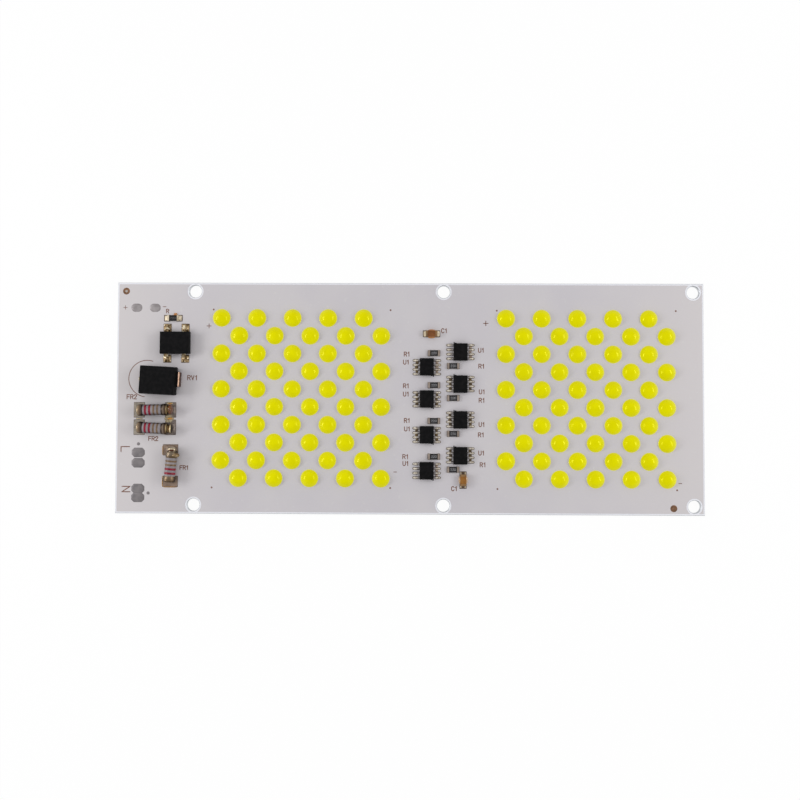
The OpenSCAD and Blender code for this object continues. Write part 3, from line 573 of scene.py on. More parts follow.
# %% Bodies and phosphor
glaze_drop = 0.12
resistor_top = top("bleed_resistor")
capacitor_split = (-6.0, 2.0)
rod_split = (-13.0, -12.0)
pale_foot = 0.22


def moulded_black(at):
    skin = noise(at, 0.09, 2.0)
    dust = noise(at, 0.9, 3.0)
    return coat(dust.tone((15, 15, 16), (24, 23, 24), (0.35, 0.75)), 0.5 + 0.16 * skin, bump(skin, 0.01))


def glazed_alumina(at):
    glaze = along(at, Z).between(resistor_top - glaze_drop, resistor_top - glaze_drop / 2)
    grain = noise(at, 0.25, 2.0)
    black = grain.tone((24, 23, 24), (38, 37, 38))
    white = grain.tone((212, 208, 200), (230, 227, 221))
    return coat(glaze.mix(white, black), 0.6 - 0.26 * glaze, bump(grain, 0.008))


def at_upper(at):
    """1 at the upper capacitor and 0 at the lower one."""
    return along(at, Y).between(*capacitor_split)


def fired_brown(at):
    grain = noise(at, 0.22, 3.0)
    clouds = noise(at, 1.4, 2.0)
    upper = clouds.tone((104, 60, 26), (122, 74, 34))
    lower = clouds.tone((124, 79, 26), (146, 98, 38))
    return coat(at_upper(at).mix(lower, upper), 0.42 + 0.2 * grain, bump(grain, 0.012))


def shaded_flanks(at):
    """1 on the flanks of the level rods, where painted shade goes, 0 on their tops and all over the upright
    rod.
    """
    return along(at, Y).between(*rod_split) * (1.0 - facing(at, Z).between(0.15, 0.87))


def grey_lacquer(at):
    clouds = noise(at, 1.8, 3.0)
    orange_peel = noise(at, 0.35, 2.0)
    # Painted shade on the level rods' flanks.
    grey = shaded_flanks(at).mix(clouds.tone((122, 116, 120), (143, 137, 140)), (68, 62, 68))
    return coat(grey, 0.34 + 0.14 * clouds, bump(orange_peel, 0.02))


def yellow_phosphor(at):
    clouds = noise(at, 2.6, 2.0)
    grain = noise(at, 0.12, 2.0)
    foot = along(at, Z).between(mask_top, mask_top + pale_foot)
    body = foot.mix((190, 186, 70), clouds.tone((179, 175, 0), (185, 181, 0)))
    # Painted glow: a constant yellow emission, lit whatever the lamps, that flattens the domes' shading.
    glow = clouds.tone((203, 198, 0), (209, 204, 0))
    return {**coat(body, 0.14 + 0.06 * grain, bump(grain, 0.002)), "Emission Color": glow}


bare_crystal = mottled(0.3, 1.0, (172, 186, 226), (204, 214, 240), 0.15, 0.1, span=(0.4, 0.6))
body_rows = [
    ("epoxy", 0.05, moulded_black),
    ("resistor_ceramic", 0.2, glazed_alumina),
    ("dull_ceramic", 0.03, glazed_alumina),
    ("capacitor_ceramic", 0.3, fired_brown),
    ("rod_coat", 0.3, grey_lacquer),
    ("led_die", 0.5, bare_crystal),
]
bodies = {name: finish(name, {"Specular IOR Level": shine}, paint) for name, shine, paint in body_rows}
shine_and_painted_glow = {"Specular IOR Level": 0.45, "Specular Tint": (1.0, 0.96, 0.06), "Emission Strength": 0.4}
phosphor = finish("phosphor", shine_and_painted_glow, yellow_phosphor)
finishes = {**board_finishes, **metals, **bodies, "phosphor": phosphor}
own_finish = {"left_sense_ends": "warm_tin", "right_sense_ends": "warm_tin", "bleed_ends": "cream_tin",
              "bleed_resistor": "dull_ceramic", "capacitor_ends": "tan_tin", "bridge_leads": "fluxed_solder"}
for subpart in frame["record"]["subparts"]:
    node = subpart["node"]
    mesh = frame["nodes"][node].data
    mesh.materials.clear()
    mesh.materials.append(finishes[own_finish.get(node, subpart["material_slot"])])
print(len(finishes), "finishes on", len(frame["nodes"]), "solids")

# %% [markdown]
# ## Phosphor domes
# Each die sits under a drop of silicone that was dispensed onto the mask, so the drop is a cap of a
# sphere that creeps out at its foot. The frame's domes are coarse and end in a sharp corner, so each
# string of ten is made again as turned surfaces, with the creep, a window plug and a pocket for the die.
# A seeded draw makes each drop a little different in width, as a dispenser does.

# %% Domes
rng = np.random.default_rng(11)
string_names = [f"{side}_led_string_{k}_domes" for side in ("left", "right") for k in range(1, 6)]
string_length = 10
box_radius = 2.5
dome_radius = 2.43
dome_height = top(string_names[0]) - mask_top
dome_sides = 36
swell_spread = 0.008
cap_share = 0.965
creep = 0.08
foot_curve = [(0.1, 0.45), (0.5, 0.12), (1.0, 0.0)]
window_radius = 1.4
die_radius, die_height = 0.8, 0.21


def dome_profile(radius, height):
    """A spherical cap, h(r) = sqrt(R^2 - r^2) - (R - height), which eases out into its creep, then the
    flat underside with the plug in the mask's window and the pocket round the die."""
    ball = (radius ** 2 + height ** 2) / (2 * height)
    r = np.sin(np.linspace(0, np.pi / 2, 15)) * radius * cap_share
    cap = np.stack([r, np.sqrt(ball ** 2 - r ** 2) - (ball - height)], axis=-1)
    foot = [(radius + creep * out, cap[-1, 1] * up) for out, up in foot_curve]
    plug_depth = copper_top - mask_top
    pocket_top = plug_depth + die_height
    under = [(window_radius, 0.0), (window_radius, plug_depth), (die_radius, plug_depth),
             (die_radius, pocket_top), (0.0, pocket_top)]
    return np.concatenate([cap, foot, under])


def led_places(node, radius):
    """The zigzag of places in a string's box: even steps along it, up and down by turns."""
    low, high = box_mm(node)
    x = np.linspace(low[X] + radius, high[X] - radius, string_length)
    y = np.where(np.arange(string_length) % 2 == 0, high[Y] - radius, low[Y] + radius)
    return at_height(np.column_stack([x, y]), mask_top)


drop = turned(dome_profile(dome_radius, dome_height), dome_sides)
for name in string_names:
    swell = rng.normal(1.0, swell_spread, (string_length, 1, 1, 1))
    points = drop * np.where([True, True, False], swell, 1.0) + led_places(name, box_radius)[:, None, None, :]
    piece = put_piece("drops_" + name.replace("_domes", ""), points, phosphor, wrap_cols=True)
    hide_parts(name)

# %% [markdown]
# ## Dark rims
# Round every land that carries a part runs a thin dark line: painted shade at the step of the mask along the
# land's edge. It is a low dark ring along the edge of the land, and each kind of joint below gets its own.

# %% Rims
rim_width, wide_rim = 0.16, 0.3
rim_height = 0.03
# Painted shade: the dark ring at each land's edge.
rim_shade = finish("painted_rim_shade", {}, mottled(0.5, 3.0, (58, 47, 40), (100, 85, 74), 0.3, 0.2))


def put_rims(name, places, turns, halves, squareness, width=rim_width):
    """Dark rings of painted shade round lands, on the mask."""
    points = rims(at_height(places, mask_top), turns, halves, squareness, width, rim_height)
    put_piece(name + "_rims", points, rim_shade, wrap_rows=True, wrap_cols=True)


def put_joints(name, metal, places, turns, halves, height, rim_squareness, rim=rim_width, **shape):
    """Solder on lands, as pillows of some shape, and the rims of those lands."""
    put_piece(name + "_solder", pillows(places, turns, halves, height, **shape), finishes[metal])
    put_rims(name, places, turns, halves, rim_squareness, rim)


print("rim width", rim_width, "mm")

# %% [markdown]
# ## Solder at the chips
# Solder wets the whole of an oval land, thins out to its rim and banks up round the foot of the lead:
# a slope beyond the toe, a small bank at each side and a heel under the bend. That is one height
# function of the place on a land, on a pillow for each of the 64 leads. At one corner of each body is a
# stub, where the mould was filled: the two columns of chips face opposite ways, and so do their stubs.

# %% Chip joints
chip_names = [f"driver_chip_{n}" for n in range(1, 9)]
chip_land_reach = 2.85
chip_land_half = (1.1, 0.33)
lead_pitch = 1.27
lead_half = 0.21
toe_x, heel_x = 0.15, -0.35
chip_film = 0.04
chip_bank = 0.23


def land_rows(node, reach, pitch, count):
    """Places and turns of the lands in two rows beside a part, each turned so that its own +X looks
    away from the part."""
    x, y, _ = middle(node)
    steps = (np.arange(count) - (count - 1) / 2) * pitch
    spots = [(x + side * reach, y + step) for side in (-1, 1) for step in steps]
    return at_height(spots, land_top), np.repeat([180.0, 0.0], count)


def bank(x, y, rise, half, toe_end, heel_end, fades):
    """A bank of solder round a lead's foot, eased to nothing over its own fade beside it, beyond its toe
    and behind its heel."""
    beside = ease(1 - (np.abs(y) - half) / fades[0])
    toe = ease(1 - (x - toe_end) / fades[1])
    heel = ease(1 - (heel_end - x) / fades[2])
    return rise * beside * toe * heel


def chip_joint(x, y):
    """A film on the land, and the bank."""
    return chip_film + bank(x, y, chip_bank, lead_half, toe_x, heel_x, (0.13, 0.5, 0.4))


chip_rows = [land_rows(name, chip_land_reach, lead_pitch, 4) for name in chip_names]
chip_places, chip_turns = map(np.concatenate, zip(*chip_rows))
put_joints("chip", "solder", chip_places, chip_turns, chip_land_half, chip_joint, 0.35, steps=(15, 9))

# %% Gate stubs
stub_place = np.array([1.8, -2.52])
stub_half = (0.15, 0.2)
stub_height = 0.3
chip_middles = np.stack([middle(name) for name in chip_names])
ways = np.where(chip_middles[:, :1] < chip_middles[:, X].mean(), 1, -1)
stub_places = np.column_stack([chip_middles[:, :2] + ways * stub_place, chip_middles[:, Z] - stub_height / 2])
put_piece("gate_stubs", pillows(stub_places, 0, stub_half, cushion(stub_height), squareness=0.9, edge=0.15,
                                steps=(7, 7)), finishes["epoxy"])

# %% [markdown]
# ## Solder at the two-ended parts
# Resistors and capacitors stand on a land at each end. Solder climbs the end metal to most of its height
# and falls in a hollow curve to the rim of the land.

# %% Resistor and capacitor joints
film = 0.05
side_fade, side_share = 0.25, 0.2


def hollow(x):
    """A hollow fall from 1 at x = 0 to 0 at x = 1: (1 - x)^2."""
    return np.clip(1 - x, 0, 1) ** 2


def end_lands(node, reach, turn):
    """Places and turns of the two lands at the ends of a part."""
    x, y, _ = middle(node)
    turns = turn + np.array([0.0, 180.0])
    t = np.radians(turns)
    return at_height(np.column_stack([x + reach * np.cos(t), y + reach * np.sin(t)]), land_top), turns


def end_joint(face, reach, rise, half_width):
    """A height function: full under the part, a hollow fall beyond its end face, and less at its sides."""
    def height(x, y):
        beside = ease((half_width - np.abs(y)) / side_fade + side_share)
        return film + (rise - film) * hollow((x - face) / reach) * beside
    return height


sense_names = [f"sense_resistor_{n}" for n in range(1, 9)]
capacitor_joint = (1.6, (0.7, 0.85), 0.0, 0.7, 0.95, wide_rim)
two_ended = [
    ("sense", "warm_tin", sense_names, 0, 1.3, (0.4, 0.8), 0.3, 0.12, 0.35, rim_width),
    ("bleed", "cream_tin", ["bleed_resistor"], 0, 1.7, (0.8, 0.8), -0.1, 0.9, 0.48, wide_rim),
    ("upper_capacitor", "cream_tin", ["upper_capacitor"], 0, *capacitor_joint),
    ("lower_capacitor", "peaked_solder", ["lower_capacitor"], 90, *capacitor_joint),
]
for name, metal, nodes, turn, reach, half, face, fall, rise, rim in two_ended:
    places, turns = map(np.concatenate, zip(*[end_lands(node, reach, turn) for node in nodes]))
    joint = end_joint(face, fall, rise, half[1])
    put_joints(name, metal, places, turns, half, joint, 0.9, rim, squareness=0.75, edge=0.3, steps=(15, 11))

# %% [markdown]
# ## Solder at the rectifier and the rods
# These were soldered by hand, so the joints are larger and lumpy. Under a rod's cap the solder fills the
# wedge between the round metal and the land, and runs up in a hollow curve at both sides.

# %% Rectifier joints
bridge_reach = 4.35
bridge_pitch = 5.05
bridge_half, bridge_rim_half = 1.08, 1.1
bridge_film, bridge_bank = 0.12, 0.3
foot_half = 0.5
wave_height = 0.07
bridge_x, bridge_y, _ = middle("bridge_rectifier")
bridge_places = at_height([(bridge_x + n * bridge_pitch / 2, bridge_y + s * bridge_reach)
                           for s in (-1, 1) for n in (-1, 1)], land_top)
wave_phases = rng.uniform(0, 2 * np.pi, (2, 4, 1, 1))


def bridge_joint(x, y):
    """A bank round the foot with a lumpy top: two waves with drawn phases stand for the iron's marks."""
    waves = np.sin(4.2 * x + wave_phases[0]) * np.cos(5.1 * y + wave_phases[1])
    foot_bank = bank(x, y, bridge_bank, foot_half, foot_half, -foot_half, (0.5, 0.6, 0.5))
    return bridge_film + foot_bank + wave_height * waves


bridge_points = pillows(bridge_places, [270, 270, 90, 90], bridge_half, bridge_joint,
                        squareness=0.8, edge=0.35, steps=(23, 23))
put_piece("bridge_solder", bridge_points, finishes["fluxed_solder"])
put_rims("bridge", bridge_places, 0, bridge_rim_half, 0.9)

# %% Rod joints
rod_names = [f"fusible_resistor_{n}" for n in (1, 2, 3)]
rod_land_middles = np.array([(-71.5, -3.5), (-71.5, -8.35), (-67.0, -19.1)])
rod_land_turns = np.array([0.0, 0.0, 90.0])
rod_turns = rod_land_turns + [1.5, -2.5, -5.0]
rod_land_reach = 4.4
rod_land_half = (1.5, 2.1)
rod_axis = middle(rod_names[0])[Z] - land_top
cap_radius, knob_radius = 1.66, 1.4
wet_angle = np.radians(36)
side_fall, tip_fall, inner_fall = 0.5, 0.6, 0.3
metal_overlap = 0.03
tip_share = 0.9


def rod_joint(radius, tip):
    """Solder under a round end: up to the metal within the wet angle of its lowest line, then a hollow
    fall to a film on the land, and a rounded slope beyond the tip."""
    reach = radius * np.sin(wet_angle)
    edge_height = rod_axis - radius * np.cos(wet_angle)

    def height(x, y):
        under = rod_axis - np.sqrt(np.clip(radius ** 2 - y ** 2, 0.01, None)) + metal_overlap
        side = edge_height * hollow((np.abs(y) - reach) / side_fall)
        wedge = np.where(np.abs(y) < reach, under, side)
        slope = tip_share * edge_height * hollow((x - tip) / tip_fall) * ease(1.3 - np.abs(y) / 1.5)
        inner = ease((x + rod_land_half[0]) / inner_fall)
        return film + np.where(x > tip, np.minimum(wedge + 0.3, slope), wedge) * inner
    return height


level_rods, upright_rod = slice(0, 2), slice(2, 3)
head, tail = -1, 1
end_shapes = {head: (cap_radius, -0.05), tail: (knob_radius, 0.95)}
# The level rods' tail lands take the darker tin, as painted shadow of the rods.
for name, metal, rods, end in (
        ("level_head", "hand_solder", level_rods, head), ("level_tail", "dark_solder", level_rods, tail),
        ("upright_head", "tan_solder", upright_rod, head), ("upright_tail", "tan_solder", upright_rod, tail)):
    t = np.radians(rod_land_turns[rods])
    spots = rod_land_middles[rods] + end * rod_land_reach * np.column_stack([np.cos(t), np.sin(t)])
    places = at_height(spots, land_top)
    turns = rod_land_turns[rods] + (180 if end == head else 0)
    put_joints(name, metal, places, turns, rod_land_half, rod_joint(*end_shapes[end]), 0.95,
               squareness=0.9, edge=0.2, steps=(25, 29))

# %% [markdown]
# ## Caps of the rods
# A cap is pressed from thin metal, so it has a barrel's belly and a wide round where its wall turns into its
# end. Beyond the tail cap come a neck and a knob. The caps are made again as turned surfaces, so that the
# windows show as spots on their shoulders. A list of colours at places along the rod paints rings on them:
# pale rings are painted highlights on the rounded shoulders and the knob's rim, and the darkest are painted
# shade by the open rims. Their flanks have painted shade too.

# %% Caps
rod_radius = 1.5
rod_end = 4.09
cap_open, cap_bend, cap_close = 2.55, 3.65, 4.25
belly_fall, belly_middle, belly_half = 0.09, 3.3, 0.6
bend_depth = 0.37
neck_radius = 1.1
knob_middle, knob_half, knob_start = 5.05, 0.5, -0.75
cap_sides = 48


def cap_profile(knobbed):
    """From the axis inside the cup to its rim, along the belly r = R - fall ((z - middle) / half)^2, round a
    quarter of an ellipse, and then either over a knob r = K (1 - s^2)^0.4 or straight to the axis."""
    z = np.linspace(cap_open, cap_bend, 7)
    belly = np.column_stack([cap_radius - belly_fall * ((z - belly_middle) / belly_half) ** 2, z])
    t = np.linspace(0, np.pi / 2, 8)[1:]
    bend = np.column_stack([belly[-1, 0] - bend_depth * (1 - np.cos(t)),
                            cap_bend + (cap_close - cap_bend) * np.sin(t)])
    s = np.sin(np.linspace(knob_start, np.pi / 2, 12))
    knob = np.column_stack([knob_radius * np.clip(1 - s * s, 0, 1) ** 0.4, knob_middle + knob_half * s])
    end = np.concatenate([[(neck_radius, cap_close + 0.02), (neck_radius, knob[0, 1])], knob])
    if not knobbed:
        end = np.tile([0.0, cap_close], (len(end), 1))
    return np.concatenate([[(0.0, rod_end), (rod_radius, rod_end), (rod_radius, cap_open)], belly, bend, end])


def on_rod(rod, profile, sides, way=1):
    """A profile of (radius, place along the rod) spun about a rod's own axis, or, for way -1, about the
    same axis the other way round."""
    t = np.radians(rod_turns[rod])
    side = np.array([-np.sin(t), np.cos(t), 0.0])
    up = np.array([0.0, 0.0, 1.0])
    axis = np.array([np.cos(t), np.sin(t), 0.0]) * way
    points = turned(profile, sides)
    return middle(rod_names[rod]) + points[..., :1] * side + points[..., 1:2] * up + points[..., 2:] * axis


def metal_with_painted_light(name, axis, stops):
    """Paint for a rod's ends: colours at places along the rod, each eased into the next, that paint
    highlights and shade, and painted shade on the flanks.
    """
    centre = middle(name)[axis]

    def paint(at):
        clouds = noise(at, 0.8, 3.0)
        place = along(at, axis) - centre + 0.3 * (clouds - 0.5)
        metal = stops[0][1]
        for (start, _), (end, colour) in zip(stops, stops[1:]):
            metal = place.between(start, end).mix(metal, colour)
        # Painted shade on the flanks.
        lit_top = (facing(at, Z) + 0.2 * clouds).between(0.15, 0.85)
        return coat(lit_top.mix((44, 34, 26), metal), 0.34 + 0.14 * clouds, bump(clouds, 0.01))
    return paint


# Pale stops are painted highlights on the shoulders and the knob's rim, the darkest ones painted shade by the
# open rims.
level_stops = [(-4.2, (152, 136, 112)), (-3.7, (140, 120, 98)), (-3.2, (104, 86, 72)), (-2.6, (58, 50, 50)),
               (2.6, (60, 52, 48)), (3.0, (84, 70, 60)), (3.25, (138, 122, 108)), (3.6, (86, 70, 58)),
               (3.9, (98, 78, 58)), (4.15, (158, 138, 102)), (4.5, (122, 94, 58)), (5.0, (112, 82, 48)),
               (5.2, (226, 208, 170)), (5.5, (120, 102, 84))]
upright_stops = [(-4.2, (78, 62, 46)), (-3.6, (120, 100, 78)), (-2.7, (126, 108, 88)), (2.7, (98, 80, 58)),
                 (3.4, (122, 109, 94)), (4.3, (132, 117, 98))]
rod_stops = [(X, level_stops), (X, level_stops), (Y, upright_stops)]
for rod, (axis, stops) in enumerate(rod_stops):
    name = rod_names[rod]
    cap_metal = finish(f"{name}_cap_metal", {"Metallic": 0.9}, metal_with_painted_light(name, axis, stops))
    plain_cap = on_rod(rod, cap_profile(False), cap_sides, -1)
    cups = np.stack([plain_cap, on_rod(rod, cap_profile(True), cap_sides)])
    piece = put_piece(f"{name}_pressed_caps", cups, cap_metal, wrap_cols=True)
    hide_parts(f"{name}_caps")

# %% [markdown]
# ## Colour bands on the rods
# A rod's value is painted round it in two red and two brown rings. Each ring is a thin torus of paint: its
# section is a flat-topped hump that is carried once round the rod's axis. Like the coat, the paint has
# painted shade on the flanks of the two level rods.

# %% Bands
paint_depth = 0.035
band_root = 0.03
band_flat = 0.8
band_sides = 40
# The third colour of each paint is its painted shade on the level rods' flanks.
bands = {"red": ((108, 12, 34), (140, 21, 44), (46, 9, 22), [(-1.77, 0.6), (-0.6, 0.6)]),
         "brown": ((94, 74, 54), (124, 98, 72), (42, 35, 32), [(0.55, 0.5), (1.6, 0.5)])}


def ring_section(place, width):
    """A closed hump: out from the coat, across the top and back in again below the coat."""
    w = width / 2
    low, high = rod_radius - band_root, rod_radius + paint_depth
    return [(low, place - w), (rod_radius, place - w), (high, place - band_flat * w),
            (high, place + band_flat * w), (rod_radius, place + w), (low, place + w)]


for colour, (dark, light, flank_shade, rings) in bands.items():
    paint = mottled(0.7, 3.0, dark, light, 0.36, 0.1, 0.012, over=[(shaded_flanks, flank_shade)])
    points = np.stack([on_rod(rod, ring_section(*ring), band_sides)
                       for rod in range(len(rod_names)) for ring in rings])
    put_piece(f"{colour}_bands", points, finish(f"{colour}_paint", {"Specular IOR Level": 0.3}, paint),
              wrap_rows=True, wrap_cols=True)

# %% [markdown]
# ## Lands for wires
# The lands for the mains wires and for the output carry no part. Hot tin was left on them by the levelling
# knife as a shallow cushion.

# %% Tin cushions
wire_places = [(-76.05, -15.45), (-76.05, -18.35), (-76.05, -25.55), (-76.05, -28.0)]
output_places = [(-77.0, 25.3), (-71.8, 25.3)]
probe_places = [(-76.05, -13.05), (-73.15, -26.775)]
for name, metal, spots, half, squareness, thickness in (
        ("wire", "tin", wire_places, (1.78, 1.28), 0.2, 0.09),
        ("output", "pale_tin", output_places, (1.5, 1.1), 0.1, 0.08),
        ("probe", "tin", probe_places, 0.42, 0.0, 0.05)):
    put_piece(name + "_tin", pillows(at_height(spots, land_top), 0, half, cushion(thickness),
                                     squareness=squareness, edge=0.3), finishes[metal])

# %% [markdown]
# ## Flux and glue
# Hand soldering leaves amber resin: in the gaps between leads, beside the rods' lands, over one rod's tail
# and as a thin film on a ring mark in the corner. Another rod has a drop of solder over its tail and a lump
# beside its cap. The capacitors and the bleed resistor were glued before they were soldered, and the glue
# shows as a small brown bulge at the middle of each long side. All of these are pillows or turned drops,
# with a finish for each degree of burning, because baked resin goes from pale and clear to dark and dull.

# %% Resin
def clear_resin(size, dark, light, gloss, cover):
    """Paint for resin that shows what is under it where its clouds are thin."""
    def paint(at):
        clouds = noise(at, size, 2.0)
        sockets = coat(clouds.tone(dark, light), gloss + 0.1 * clouds)
        return {**sockets, "Alpha": cover + (1.0 - cover) * clouds}
    return paint


def baked_resin(dark, light):
    """Paint for resin that baked dull."""
    return mottled(0.4, 3.0, dark, light, 0.25, 0.2, 0.02)


resins = finish_set(
    ("amber_resin", {"Specular IOR Level": 0.25, "Coat Weight": 1.0, "Coat Roughness": 0.05},
     clear_resin(0.9, (84, 40, 0), (114, 60, 2), 0.1, 0.86)),
    ("pale_resin", {"Coat Weight": 0.3}, clear_resin(0.6, (208, 184, 134), (228, 212, 172), 0.2, 0.0)),
    ("honey_resin", {"Coat Weight": 0.2}, clear_resin(0.6, (168, 122, 64), (200, 156, 96), 0.2, 0.4)),
    ("orange_resin", {"Coat Weight": 0.2}, clear_resin(0.5, (192, 126, 44), (222, 164, 82), 0.2, 0.75)),
    ("beige_resin", {"Coat Weight": 0.2}, baked_resin((128, 106, 92), (178, 158, 140))),
    ("dark_resin", {"Coat Weight": 0.2}, baked_resin((60, 44, 22), (112, 88, 46))),
    ("ring_resin", {}, baked_resin((156, 150, 144), (184, 178, 172))),
)
print(sorted(resins))

# %% Resin between the leads
gap_reach = 2.8
gap_count = 3
gap_stray = 0.06
gap_thickness = 0.12
left_side, right_side = 0, 1
gap_sides = {
    "dark": [(1, left_side)] + [(n, side) for n in (2, 3, 6, 7, 8) for side in (left_side, right_side)],
    "beige": [(n, right_side) for n in (1, 4, 5)],
}
for name, sides in gap_sides.items():
    gap_rows = [land_rows(chip_names[n - 1], gap_reach, lead_pitch, gap_count)[0] for n, _ in sides]
    gaps = [row.reshape(2, gap_count, 3)[side] for row, (_, side) in zip(gap_rows, sides)]
    gaps = at_height(np.concatenate(gaps), mask_top)
    gaps[:, X] += rng.normal(0, gap_stray, len(gaps))
    half = np.stack([rng.uniform(0.36, 0.52, len(gaps)), rng.uniform(0.24, 0.31, len(gaps))], axis=-1)
    put_piece(f"{name}_chip_resin", pillows(gaps, 0, half, cushion(gap_thickness), squareness=0.5,
                                            steps=(7, 5)), resins[f"{name}_resin"])

# %% Resin beside the lands
def put_spots(name, spots, thickness, material, edge=0.5):
    """Pillows on the mask, from rows of x, y and two half sizes."""
    spots = np.array(spots)
    points = pillows(at_height(spots, mask_top), 0, spots[:, 2:], cushion(thickness), edge=edge)
    put_piece(f"{name}_spots", points, material)


resin_spots = {
    "pale": (0.14, [(-67.5, -5.93, 1.4, 0.42), (-67.4, -1.6, 0.9, 0.35), (-67.6, -5.3, 0.9, 0.4),
                    (-67.6, -6.6, 1.0, 0.4), (-75.9, -5.93, 1.0, 0.2), (-75.95, 5.3, 0.3, 0.55)]),
    "honey": (0.14, [(-69.17, -14.8, 0.16, 1.3), (-69.17, -23.5, 0.16, 1.5), (-67.0, -25.08, 2.0, 0.14)]),
    "orange": (0.32, [(-67.3, -5.93, 0.72, 0.28), (-67.3, -1.75, 0.6, 0.2)]),
}
for name, (thickness, spots) in resin_spots.items():
    put_spots(name, spots, thickness, resins[f"{name}_resin"])

ring_mark = (-80.0, 30.0, top("dielectric_layer"))
ring_half, ring_film = 0.36, 0.03
put_piece("ring_mark_resin", pillows([ring_mark], 0, ring_half, cushion(ring_film), steps=(9, 9)),
          resins["ring_resin"])

# %% Drops on the rods' tails
drop_sides = 32


def tail_drop(radius, start, end):
    """A drop round a tail, from one place along the rod to another: r = radius sqrt(1 - s^2)."""
    t = np.linspace(-np.pi / 2, np.pi / 2, 15)
    return np.column_stack([radius * np.cos(t), (start + end) / 2 + (end - start) / 2 * np.sin(t)])


def from_drop(at):
    """The square of how far a point lies across the upright rod from the middle of its drop's hollow."""
    across = along(at, X) - middle(rod_names[2])[X] - 0.4
    return across * across


def drop_edge_shade(at):
    """1 at the sides of the drop, where painted shade goes."""
    return from_drop(at).between(0.8, 1.5)


def painted_hollow_shade(at):
    """1 where painted shade of a hollow goes, on top of the drop towards the cap; the drop has no real
    hollow.
    """
    near_cap = 1.0 - (along(at, Y) - middle(rod_names[2])[Y]).between(4.75, 5.05)
    return near_cap * (1.0 - from_drop(at).between(0.3, 1.1))


# Painted shade: the drop's sides and a hollow on top of it, towards the cap, are darkened.
cream_solder = mottled(0.6, 2.0, (170, 152, 124), (224, 208, 180), 0.22, 0.14, 0.02,
                       over=[(drop_edge_shade, (116, 98, 80)), (painted_hollow_shade, (84, 40, 20))])
shaded_drop_metal = finish("drop_solder_painted_shade", {"Metallic": 0.4}, cream_solder)
for name, rod, drop_size, material in (("tail_resin", 0, (1.46, 4.3, 5.66), resins["amber_resin"]),
                                       ("tail_solder", 2, (1.52, 4.2, 5.6), shaded_drop_metal)):
    put_piece(name, on_rod(rod, tail_drop(*drop_size), drop_sides)[None], material, wrap_cols=True)

# %% Solder lump beside the upright rod
lump_place = np.array([-65.15, -16.15, 3.4])
lump_half = np.array([1.2, 0.74, 1.3])
angles = np.linspace(0, np.pi, 15)
lump_points = turned(np.column_stack([np.sin(angles), np.cos(angles)]), 24) * lump_half + lump_place
put_piece("cap_lump", lump_points[None], finishes["gold_solder"], wrap_cols=True)

# %% Glue
def brown_glue(at):
    """Brown at the upper parts, and tan at the lower capacitor."""
    clouds = noise(at, 0.5, 3.0)
    brown = clouds.tone((140, 84, 34), (200, 138, 78))
    tan = clouds.tone((166, 134, 100), (204, 174, 140))
    return coat(at_upper(at).mix(tan, brown), 0.25 + 0.2 * clouds, bump(clouds, 0.03))


glue = finish("glue", {"Coat Weight": 0.3}, brown_glue)
bleed_x, bleed_y, _ = middle("bleed_resistor")
glue_rows = [(*middle("upper_capacitor")[:2], 1.2, 1.28), (*middle("lower_capacitor")[:2], 1.28, 1.2),
             (bleed_x + 0.6, bleed_y + 0.95, 0.5, 0.55)]
put_spots("glue", glue_rows, 0.5, glue, edge=0.4)

# %% [markdown]
# ## Printed legend
# The legend names the places of the parts in thin brown ink. Each letter is a few lines of straight strokes
# on a cell one unit high, and each stroke is a low pillow of ink, so the letters have a real, if tiny,
# height.

# %% Legend
letter_lines = {
    "0": [[(0, 0.1), (0, 0.9)], [(0, 0.95), (0.6, 0.95)], [(0.6, 0.9), (0.6, 0.1)], [(0.6, 0.05), (0, 0.05)]],
    "1": [[(0.1, 0.75), (0.3, 1), (0.3, 0)]],
    "2": [[(0, 0.75), (0.15, 1), (0.45, 1), (0.6, 0.75), (0, 0), (0.6, 0)]],
    "C": [[(0.6, 0.8), (0.4, 1), (0.2, 1), (0, 0.75), (0, 0.25), (0.2, 0), (0.4, 0), (0.6, 0.2)]],
    "F": [[(0, 0), (0, 1), (0.6, 1)], [(0, 0.52), (0.5, 0.52)]],
    "L": [[(0, 1), (0, 0), (0.6, 0)]],
    "N": [[(0, 0), (0, 1), (0.65, 0), (0.65, 1)]],
    "R": [[(0, 0), (0, 1), (0.4, 1), (0.6, 0.85), (0.6, 0.65), (0.4, 0.5), (0, 0.5)], [(0.3, 0.5), (0.6, 0)]],
    "U": [[(0, 1), (0, 0.2), (0.2, 0), (0.4, 0), (0.6, 0.2), (0.6, 1)]],
    "V": [[(0, 1), (0.3, 0), (0.6, 1)]],
    "+": [[(0, 0.5), (0.8, 0.5)], [(0.4, 0.1), (0.4, 0.9)]],
    "-": [[(0, 0.5), (0.75, 0.5)]],
}
letter_step = 0.84
stroke_height = 0.012


def word_strokes(word, x, y, height, width, turn=0):
    """Ends of a word's strokes on the board, one row each: x1, y1, x2, y2, width. The word is centred on
    (x, y), and letters follow each other by a fixed step."""
    ends = np.array([[start, end] for letter in word for line in letter_lines[letter]
                     for start, end in zip(line, line[1:])], float)
    counts = [sum(len(line) - 1 for line in letter_lines[letter]) for letter in word]
    ends[..., X] += np.repeat(np.arange(len(word)) * letter_step, counts)[:, None]
    ends = (ends - (ends.min((0, 1)) + ends.max((0, 1))) / 2) * height
    t = np.radians(turn)
    spin = np.array([[np.cos(t), np.sin(t)], [-np.sin(t), np.cos(t)]])
    ends = ends @ spin + [x, y]
    return np.concatenate([ends.reshape(-1, 4), np.full((len(ends), 1), width)], axis=1)


